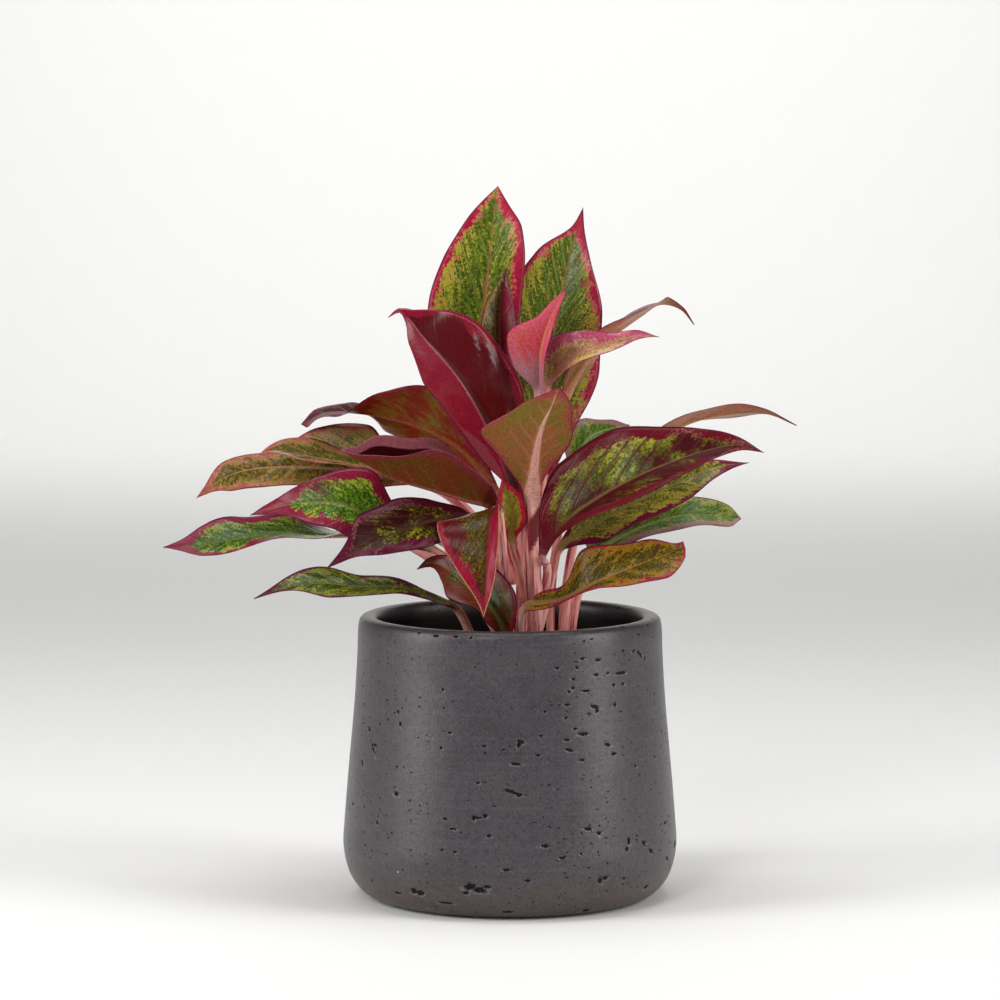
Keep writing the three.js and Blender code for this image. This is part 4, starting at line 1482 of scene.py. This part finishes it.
LEAVES = (
    Leaf(
        "crown_left",
        stalk=((2.5, 7.3, 196), (-5, 8, 219)),
        rib=((-14, 8, 242), (-15, 4, 270), (-13, 3, 298), (-10, 5, 323), (-8, 9, 343),
            (-6, 14, 357)),
        left=(12, 24, 28, 23.5, 14.5, 6), right=(10, 17, 19, 18.5, 15, 6), face=((0, -1, 0.3),),
        fold=((8, 10),), finish=CROWN, vein_slant=2.0,
    ),
    Leaf(
        "crown_right",
        stalk=((11.3, 10.2, 168), (12, 11.5, 184)),
        rib=((12, 12, 199), (16, 11, 222), (19, 10, 250), (21, 10, 275), (25, 12, 297),
            (31, 18, 325), (37, 26, 346)),
        left=(6, 15, 25, 26, 16.5, 2.5), right=(6, 15, 25, 22, 11, 3.5),
        face=((0.2, -1, 0.3), (0.1, -1, 0.3), (-0.2, -1, 0.3)), fold=((8, 4),),
        finish=replace(CROWN, margin_left=2.5, margin_right=3.4, fleck_share=0.7, gloss=0.4),
        vein_slant=2.0,
    ),
    Leaf(
        "young_spear",
        stalk=((8.9, 4, 223.2), (6, 2, 236)),
        rib=((-3, -4, 251), (-5, -6, 276), (-5, -6, 296), (-2, -3, 316)),
        left=(4, 10, 13, 11, 6, 2), face=((0, -1, 0.2),), fold=((40, 40),), finish=SPEAR,
    ),
    Leaf(
        "young_pink",
        stalk=((8.6, -2.5, 208), (9, -15, 232)),
        rib=((14, -29, 254), (15, -33, 276), (20, -29, 293), (28, -18, 307)),
        left=(3, 13, 18, 7, 3.5, 1.5), right=(3, 5, 7, 6, 4, 1.5), face=((-0.2, -0.9, 0.3),),
        fold=((10, 50),), finish=YOUNG_PINK,
    ),
    Leaf(
        "upper_right_long_tip",
        stalk=((14.7, 1.6, 198), (19, -3, 226)),
        rib=((26, -9, 248), (38, -8, 270), (52, 1, 283), (66, 15, 292), (77, 30, 297),
            (87, 36, 294), (94, 40, 286)),
        left=(4, 9, 12, 11, 5, 1.5), face=((-0.5, 0.8, 0.3), (0, 0.45, 0.9), (0, 0.2, 1)),
        fold=((15, 15),), finish=ORANGE_UNDER,
    ),
    Leaf(
        "upper_right",
        stalk=((11.6, -1.8, 190), (15, -10, 222)),
        rib=((18, -21, 257), (24, -26, 267), (34, -31, 276), (49, -28, 281), (64, -22, 284),
            (74, -18, 283)),
        left=(11, 15, 9.5, 5, 3, 1), right=(3, 6, 9, 8, 4, 1.2), face=((0, -0.9, 0.5),),
        fold=((10, 35),), finish=ROSE_UPPER,
    ),
    Leaf(
        "big_red_left",
        stalk=((5.4, -2.5, 165), (6, -9, 182)),
        rib=((5, -18, 198), (-2, -22, 219), (-9, -26, 236), (-22, -34, 260), (-32, -38, 273),
            (-43, -42, 285), (-49, -44, 293), (-54, -44, 297), (-60, -46, 294)),
        left=(2, 11, 15, 17, 9, 1.5), right=(6, 15, 25, 26, 18, 3),
        face=((0.1, -1, 0.2), (0, -1, 0.3), (-0.1, -1, 0.6)), fold=((8, -4),), finish=WINE_RED,
        cup=((0, 0), (0, -0.05), (0, -0.04)), pleat=(0.15, 1.1),
    ),
    Leaf(
        "front_underside",
        stalk=((11, -3.9, 124), (12.4, -12.5, 145), (11.6, -17.8, 165), (11, -19.8, 184)),
        rib=((11, -22, 202), (12, -36, 221), (15, -58, 240), (20, -76, 253), (23, -92, 263)),
        left=(3, 10, 17, 14, 9, 4), right=(5, 17, 29, 17, 10, 4), face=((0, 0.65, 0.75),),
        fold=((8, 8),), finish=OLIVE_UNDER, stalk_radius=4.1,
    ),
    Leaf(
        "left_upper_arch",
        stalk=((1.2, 2.9, 172), (-3, 2, 188)),
        rib=((-7, 2, 204), (-24, 2, 225), (-45, 6, 236), (-63, 10, 241), (-81, 16, 243),
            (-94, 22, 242), (-106, 28, 236)),
        left=(3, 8, 24, 15, 9, 9), right=(4, 10, 15, 15, 8, 8),
        face=((0, 0.85, 0.5), (0, 0.85, 0.5), (0, 0.85, 0.5), (0, 0.7, 0.7), (0, 0, 1),
            (0, -0.4, 0.9)),
        fold=((5, 10), (5, 10), (5, 10), (5, 10), (-10, 25), (-10, 15)), finish=ARCH_UNDER,
    ),
    Leaf(
        "left_second",
        stalk=((1.9, 0, 158), (-3, -6, 178)),
        rib=((-6, -16, 196), (-22, -30, 203), (-39, -40, 209), (-57, -48, 215), (-71, -54, 223),
            (-83, -58, 230)),
        left=(8, 15, 20, 18, 10, 3), right=(8, 22, 29, 24, 18, 6), face=((0, 0.3, 0.95),),
        fold=((60, 75), (55, 75), (5, 80)), finish=BROWN_UNDER,
    ),
    Leaf(
        "left_long_orange",
        stalk=((1.2, 7.5, 146), (-13, 11, 178), (-30, 13, 200)),
        rib=((-48, 14, 208), (-71, 16, 211), (-91, 18, 214), (-114, 20, 215), (-134, 22, 213),
            (-147, 22, 208), (-159, 20, 199)),
        left=(4, 9, 11, 11, 9.5, 3), right=(8, 26, 21, 7.5, 8, 2.5), face=((0, -0.9, 0.4),),
        fold=((10, 5),), finish=ORANGE_UPPER,
    ),
    Leaf(
        "left_salmon_tip",
        stalk=((0.8, 4, 161), (-10, 3, 180), (-25, 3, 198)),
        rib=((-43, 2, 208), (-65, 2, 215), (-81, 2, 218), (-103, 2, 222), (-118, 0, 225),
            (-126, 0, 223)),
        left=(4, 8, 9, 8, 14, 6), right=(5, 9, 12, 18, 14, 6), face=((0, -0.35, 0.94),),
        fold=((15, 5),), finish=ORANGE_UPPER,
    ),
    Leaf(
        "left_mid",
        stalk=((0.7, 1.6, 134), (-11, -5, 153), (-25, -11, 167)),
        rib=((-39, -16, 177), (-55, -20, 187), (-71, -25, 195), (-85, -28, 201), (-106, -28, 201),
            (-129, -28, 195)),
        left=(5, 15, 16, 13.5, 6, 2), right=(4, 9.5, 22, 13, 5.5, 2.5), face=((0, -0.9, 0.5),),
        fold=((5, 5),), finish=VIVID_RED_EDGE,
    ),
    Leaf(
        "left_low_long",
        stalk=((-0.2, 4.6, 122), (-18, 0, 150), (-40, -5, 171)),
        rib=((-62, -6, 182), (-97, -9, 183), (-114, -12, 185), (-134, -15, 182), (-154, -17, 179),
            (-173, -18, 178)),
        left=(5, 12, 13, 12, 9.5, 3), right=(6, 15, 17, 17.5, 11.5, 3.5),
        face=((0, 0.3, 0.95), (0, -0.4, 0.9), (0, -0.75, 0.65)), fold=((12, 5),),
        finish=GREEN_WINE_EDGE,
    ),
    Leaf(
        "left_front_dark",
        stalk=((2, -0.9, 122), (-8, -10, 148), (-15, -20, 173)),
        rib=((-18, -28, 193), (-35, -38, 194), (-54, -49, 189), (-72, -56, 182), (-90, -60, 172)),
        left=(6, 14, 17, 10.5, 4, 1.5), right=(6, 15, 20, 18.5, 7, 2.5),
        face=((-0.1, -0.7, 0.7),), fold=((5, 5),), finish=DARK_WINE,
    ),
    Leaf(
        "front_centre_red",
        stalk=((4, -2.2, 136), (-2, -13, 158), (-4, -26, 183)),
        rib=((-6, -37, 199), (-9, -50, 197), (-11, -60, 182), (-12, -63, 165), (-13, -63, 148)),
        left=(3, 6, 7, 6, 4, 1.5), right=(10, 27, 23.5, 15, 6.5, 2),
        face=((-0.3, 0, 1), (-0.2, -1, 0.3), (-0.2, -1, 0.2)), fold=((30, 5),), finish=CENTRE_RED,
        vein_slant=2.0,
    ),
    Leaf(
        "centre_small",
        stalk=((7.2, -3, 150), (4.5, -9, 166)),
        rib=((1, -18, 181), (1, -23, 196), (-4, -26, 213)),
        left=(2, 6, 8, 8, 5, 2), face=((0, -1, 0.2),), fold=((30, 30),), finish=SMALL_RED,
    ),
    Leaf(
        "left_lowest",
        stalk=((-12.1, -11.6, 110), (-19, -16, 132)),
        rib=((-27, -22, 148), (-36, -28, 153), (-55, -34, 160), (-74, -42, 161), (-94, -46, 163),
            (-111, -50, 161), (-126, -50, 156)),
        left=(4, 5, 10, 13.5, 4.5, 1.5), right=(4, 5, 8.5, 13, 8, 3), face=((0, -0.5, 0.9),),
        fold=((5, 5),), finish=GREEN_PLUM_EDGE,
    ),
    Leaf(
        "left_small_low",
        stalk=((-6, -9.6, 113),),
        rib=((-2, -18, 131), (-8, -26, 147), (-20, -34, 159), (-31, -40, 169), (-39, -44, 173),
            (-46, -46, 170)),
        left=(3, 7.5, 8.5, 13, 6, 2), right=(5, 15, 18, 12, 6, 2), face=((0, -0.8, 0.6),),
        fold=((5, 5),),
        finish=replace(GREEN_PLUM_EDGE, wine="#6c2a1a", wine_share=0.4, margin="#8a2434"),
    ),
    Leaf(
        "right_big",
        stalk=((12, -0.8, 140), (17.5, -9, 156), (18.5, -18, 168)),
        rib=((16, -28, 175), (26, -32, 191), (44, -38, 205), (66, -40, 217), (94, -36, 227),
            (113, -30, 230), (126, -26, 226)),
        left=(8, 27, 28, 19.5, 9.5, 2.5), right=(3, 12, 20, 16, 9, 3), face=((-0.2, -0.9, 0.5),),
        fold=((5, 35),), finish=WINE_GREEN,
    ),
    Leaf(
        "right_second",
        stalk=((14.3, 4, 132), (19, 1, 152), (22, -5, 167)),
        rib=((25, -12, 177), (50, -18, 194), (80, -20, 209), (102, -18, 218), (119, -14, 220)),
        left=(5, 14, 16, 12, 5, 1.5), right=(5, 12, 12.5, 12, 6.5, 2), face=((0, -0.8, 0.6),),
        fold=((5, 5),), finish=SECOND_GREEN,
    ),
    Leaf(
        "right_third",
        stalk=((26.2, 2.5, 116), (28, 1, 138), (31, 1, 155)),
        rib=((38, 0, 169), (60, -4, 184), (88, -6, 193), (116, -4, 191)),
        left=(6, 16, 16, 13, 10, 7), right=(4, 7.5, 8, 9, 7.5, 6.5), face=((0, -0.7, 0.7),),
        fold=((5, 5),), finish=PLAIN_GREEN,
    ),
    Leaf(
        "right_low",
        stalk=((6.6, -2.7, 113), (6, -16, 125), (5, -27, 140)),
        rib=((8, -34, 150), (25, -44, 155), (44, -50, 165), (69, -50, 175), (82, -48, 180),
            (85, -48, 184)),
        left=(6, 8, 20, 15.5, 11.5, 5.5), right=(5, 2.5, 4.5, 11, 14.5, 8.5),
        face=((0, -0.75, 0.7),), fold=((5, 5),), finish=GREEN_RED_EDGE,
    ),
    Leaf(
        "right_back_tip",
        stalk=((26.1, 13.5, 122), (28, 17, 150), (36, 23, 188)),
        rib=((51, 28, 211), (71, 34, 225), (92, 42, 236), (113, 46, 240), (132, 48, 240),
            (147, 48, 234)),
        left=(4, 9, 12, 10, 5, 1.5), face=((0, 0.4, 0.9),), fold=((10, 10),), finish=ORANGE_UNDER,
    ),
    Leaf(
        "back_small",
        stalk=((20.9, 13.8, 118), (21, 20, 150), (25, 29, 182)),
        rib=((32, 38, 209), (40, 44, 227), (48, 50, 231), (62, 62, 233)),
        left=(3, 9, 11, 8, 5, 2), face=((0.2, -0.5, 0.7),), fold=((10, 10),),
        finish=replace(PLAIN_GREEN, margin="#96706a", margin_left=3.4),
    ),
    Leaf(
        "back_green",
        stalk=((7.4, 11, 142), (11, 18, 157)),
        rib=((13, 29, 168), (18, 48, 186), (24, 66, 202), (31, 84, 216)),
        left=(5, 13, 16, 13, 7, 2), face=((-0.5, -0.6, 0.6),), fold=((10, 10),),
        finish=PLAIN_GREEN,
    ),
    Leaf(
        "back_upper",
        stalk=((5.6, 10.4, 178), (3, 20, 202)),
        rib=((4, 32, 222), (8, 50, 243), (12, 74, 252), (15, 100, 247), (16, 118, 236)),
        left=(8, 20, 24, 19, 10, 3), face=((0, -0.5, 0.9),), fold=((12, 12),), finish=CROWN,
    ),
    Leaf(
        "back_left",
        stalk=((2.8, 8.2, 170), (-8, 20, 190)),
        rib=((-18, 32, 205), (-34, 50, 218), (-52, 70, 222), (-70, 88, 214), (-78, 98, 206)),
        left=(7, 18, 21, 17, 9, 3), face=((0, 0, 1),), fold=((12, 12),), finish=GREEN_WINE_EDGE,
    ),
    Leaf(
        "back_right",
        stalk=((29.1, 10.2, 110), (34, 18, 148)),
        rib=((42, 30, 168), (54, 46, 182), (66, 64, 187), (80, 84, 182)),
        left=(6, 16, 19, 15, 8, 3), face=((0, 0, 1),), fold=((12, 12),), finish=SECOND_GREEN,
    ),
    Leaf(
        "back_low_left",
        stalk=((2.5, 9.2, 128), (-10, 22, 150)),
        rib=((-24, 34, 166), (-44, 48, 180), (-64, 60, 186), (-82, 70, 182), (-90, 74, 177)),
        left=(6, 16, 19, 15, 8, 3), face=((0, 0, 1),), fold=((12, 12),), finish=GREEN_PLUM_EDGE,
    ),
    Leaf(
        "back_low_centre",
        stalk=((6.1, 11, 118), (8, 26, 145)),
        rib=((9, 40, 160), (10, 60, 172), (9, 82, 174), (8, 100, 164)),
        left=(5, 12, 14, 12, 7, 2.5), face=((0, -0.1, 1),), fold=((12, 12),), finish=PLAIN_GREEN,
    ),
)

# Pits that stand out on the planter's face, from the rim down
PITS = (
    Pit(419, 633, 1.4, 0.5), Pit(436, 636, 2.4, 0.7), Pit(456, 637, 2.0, 0.7),
    Pit(471, 638, 1.5, 0.7, 25), Pit(640, 654, 6.0, 1.0, -40), Pit(645, 659, 1.2, 2.6),
    Pit(634, 651, 2.2, 0.9, 20), Pit(582, 659, 1.8, 0.8), Pit(598, 660, 2.6, 0.9),
    Pit(557, 668, 2.0, 0.9, -25), Pit(577, 668, 1.2, 1.0), Pit(596, 675, 2.0, 0.8),
    Pit(608, 673, 1.0, 1.0), Pit(621, 673, 7.0, 1.0), Pit(573, 679, 1.0, 0.9),
    Pit(614, 685, 1.4, 0.9), Pit(623, 684, 1.7, 1.0), Pit(573, 688, 1.4, 1.0),
    Pit(586, 691, 3.6, 0.6), Pit(569, 692, 1.0, 1.0), Pit(567, 705, 2.2, 0.8),
    Pit(595, 707, 4.2, 1.2, -20), Pit(597, 711, 1.6, 1.4), Pit(615, 705, 1.3, 1.0),
    Pit(566, 718, 1.1, 0.8), Pit(545, 712, 1.0, 1.0), Pit(575, 729, 1.6, 0.9),
    Pit(583, 734, 5.0, 1.1), Pit(567, 740, 2.5, 0.8), Pit(521, 742, 3.2, 1.2, -20),
    Pit(519, 745, 1.3, 2.6, -15), Pit(608, 745, 2.8, 0.8, -15), Pit(569, 750, 4.0, 0.9, -15),
    Pit(538, 755, 2.2, 0.9, -10), Pit(614, 754, 2.2, 0.9), Pit(516, 764, 4.2, 1.0, -5),
    Pit(582, 760, 2.6, 0.7), Pit(503, 750, 1.4, 0.6), Pit(541, 736, 2.0, 0.5),
    Pit(484, 746, 2.1, 0.6), Pit(441, 748, 1.1, 0.9), Pit(443, 690, 1.0, 0.9),
    Pit(450, 733, 1.6, 0.7), Pit(398, 712, 1.1, 1.2), Pit(400, 724, 1.3, 1.4),
    Pit(369, 729, 2.0, 1.7), Pit(373, 749, 7.0, 0.9, -57), Pit(375, 745, 3.0, 0.8),
    Pit(362, 763, 3.4, 1.2, -55), Pit(655, 757, 1.3, 0.9), Pit(636, 766, 1.2, 1.1),
    Pit(396, 794, 2.3, 1.7), Pit(474, 818, 1.5, 2.0), Pit(485, 816, 2.0, 1.6),
    Pit(479, 818, 3.0, 0.7), Pit(512, 792, 7.0, 1.1, -20), Pit(519, 795, 2.4, 1.4),
    Pit(478, 783, 1.5, 0.8), Pit(445, 819, 1.8, 0.7), Pit(453, 829, 3.0, 0.8),
    Pit(489, 836, 2.0, 1.0, 15), Pit(377, 823, 1.3, 1.1), Pit(353, 804, 1.8, 1.2),
    Pit(588, 829, 4.0, 1.0, -10), Pit(599, 833, 2.0, 1.1), Pit(545, 846, 3.4, 1.3),
    Pit(629, 841, 1.4, 2.8), Pit(627, 849, 2.0, 1.4), Pit(644, 843, 3.0, 1.4, -30),
    Pit(651, 851, 3.4, 1.2, -35), Pit(675, 844, 4.0, 2.4), Pit(667, 858, 3.0, 1.0, -40),
    Pit(665, 823, 1.6, 1.2), Pit(562, 858, 2.4, 0.9), Pit(506, 870, 3.2, 0.8),
    Pit(528, 881, 2.6, 0.8), Pit(600, 881, 2.6, 1.6, -60), Pit(605, 878, 2.6, 1.3),
    Pit(624, 879, 1.6, 0.8), Pit(470, 887, 5.0, 2.6, 12), Pit(479, 890, 6.0, 2.2, -8),
    Pit(487, 887, 3.0, 1.2), Pit(466, 893, 2.4, 1.2), Pit(414, 891, 2.6, 2.6),
    Pit(420, 893, 4.0, 2.0, 15), Pit(398, 893, 3.2, 0.9), Pit(442, 850, 1.6, 0.6),
    Pit(455, 852, 2.0, 0.7), Pit(581, 854, 1.1, 0.9), Pit(646, 887, 3.4, 1.4),
    Pit(508, 912, 5.0, 0.9), Pit(586, 910, 3.0, 1.2), Pit(446, 903, 7.0, 0.7),
)


@dataclass
class Studio:
    """A pale sweep, soft lights and the camera, none of them part of the object."""

    sweep_front: float = 2600.0
    sweep_back: float = 3400.0  # well behind a camera that looks from the back
    sweep_height: float = 3200.0
    sweep_bend: float = 700.0
    sweep_half_width: float = 4500.0
    paper: str = "#ebebea"

    def build(self) -> None:
        """Makes the sweep, the lights and the camera, and shows colours as they are."""
        self._sweep()
        self._world()
        self._lights()
        self._camera()
        bpy.context.scene.view_settings.view_transform = "Standard"

    def _sweep(self) -> None:
        """Makes a pale paper sweep that rises behind the object."""
        work = bmesh.new()
        bmesh.ops.create_grid(work, x_segments=1, y_segments=1, size=1.0)
        for vert in work.verts:
            vert.co.x *= self.sweep_half_width
            vert.co.y = self.sweep_back if vert.co.y > 0 else -self.sweep_front
        far = [edge for edge in work.edges if all(vert.co.y > 0 for vert in edge.verts)]
        risen = bmesh.ops.extrude_edge_only(work, edges=far)
        upper = [item for item in risen["geom"] if isinstance(item, bmesh.types.BMVert)]
        bmesh.ops.translate(work, vec=(0, 0, self.sweep_height), verts=upper)
        bend = [edge for edge in work.edges if edge.is_manifold]
        bmesh.ops.bevel(
            work, geom=bend, offset=self.sweep_bend, offset_type="OFFSET", segments=24,
            profile=0.5, affect="EDGES", clamp_overlap=True, material=-1,
        )
        bmesh.ops.translate(work, vec=(0, 0, -0.2), verts=work.verts)
        shader = {"Base Color": linear(self.paper), "Roughness": 0.9, "Specular IOR Level": 0.1}
        material, _ = new_material("background_paper", shader)
        place_mesh("studio_sweep", work, material)

    def _world(self) -> None:
        """Fills the room with an even pale light."""
        world = bpy.data.worlds.new("studio")
        world.use_nodes = True
        ground = world.node_tree.nodes["Background"]
        ground.inputs["Color"].default_value = linear("#fbfbfc")
        ground.inputs["Strength"].default_value = 0.16
        bpy.context.scene.world = world

    def _lights(self) -> None:
        """Hangs a soft box on each side, overhead, in front, and one that lights the paper."""
        plant, wall = (0, 0, 180), (0, self.sweep_back, 900)
        boxes = (
            ("left_softbox", (-1580, -600, 750), plant, (700, 1400), 21.0),
            ("right_softbox", (1560, -660, 750), plant, (700, 1400), 21.0),
            ("top_softbox", (0, 0, 1900), plant, (1300, 1100), 18.0),
            ("front_softbox", (-650, -1700, 1400), plant, (500, 900), 10.0),
            ("background_softbox", (0, 2400, 1700), wall, (2600, 500), 27.0),
        )
        for name, place, target, size, power in boxes:
            light = bpy.data.lights.new(name, "AREA")
            light.shape = "RECTANGLE"
            light.size, light.size_y = (side * MM for side in size)
            light.energy = power
            light.color = (1.0, 0.995, 0.985)
            lamp = bpy.data.objects.new(name, light)
            lamp.location = Vector(place) * MM
            aim = Vector(target) * MM - lamp.location
            lamp.rotation_euler = aim.to_track_quat("-Z", "Y").to_euler()
            bpy.context.scene.collection.objects.link(lamp)

    def _camera(self) -> None:
        """Sets the camera at the viewing angle of the plant's portrait."""
        lens = bpy.data.cameras.new("camera")
        lens.sensor_width = PORTRAIT.sensor
        lens.lens = PORTRAIT.focal
        lens.clip_end = 50.0
        camera = bpy.data.objects.new("camera", lens)
        camera.location = Vector(PORTRAIT.place) * MM
        camera.rotation_euler = (math.radians(90.0 - PORTRAIT.pitch), 0.0, 0.0)
        bpy.context.scene.collection.objects.link(camera)
        bpy.context.scene.camera = camera


def main() -> None:
    """Builds every piece in order."""
    logging.basicConfig(level=logging.INFO, format="%(name)s: %(message)s")
    Planter(pits=PITS).build()
    GrowersPot().build()
    Soil().build()
    for cane in CANES:
        cane.build()
    # Each leaf is cut from its own place in the patterns
    for number, leaf in enumerate(LEAVES):
        leaf.build(seed=3.7 * number + 1.3)
    Studio().build()


if __name__ == "__main__":
    main()
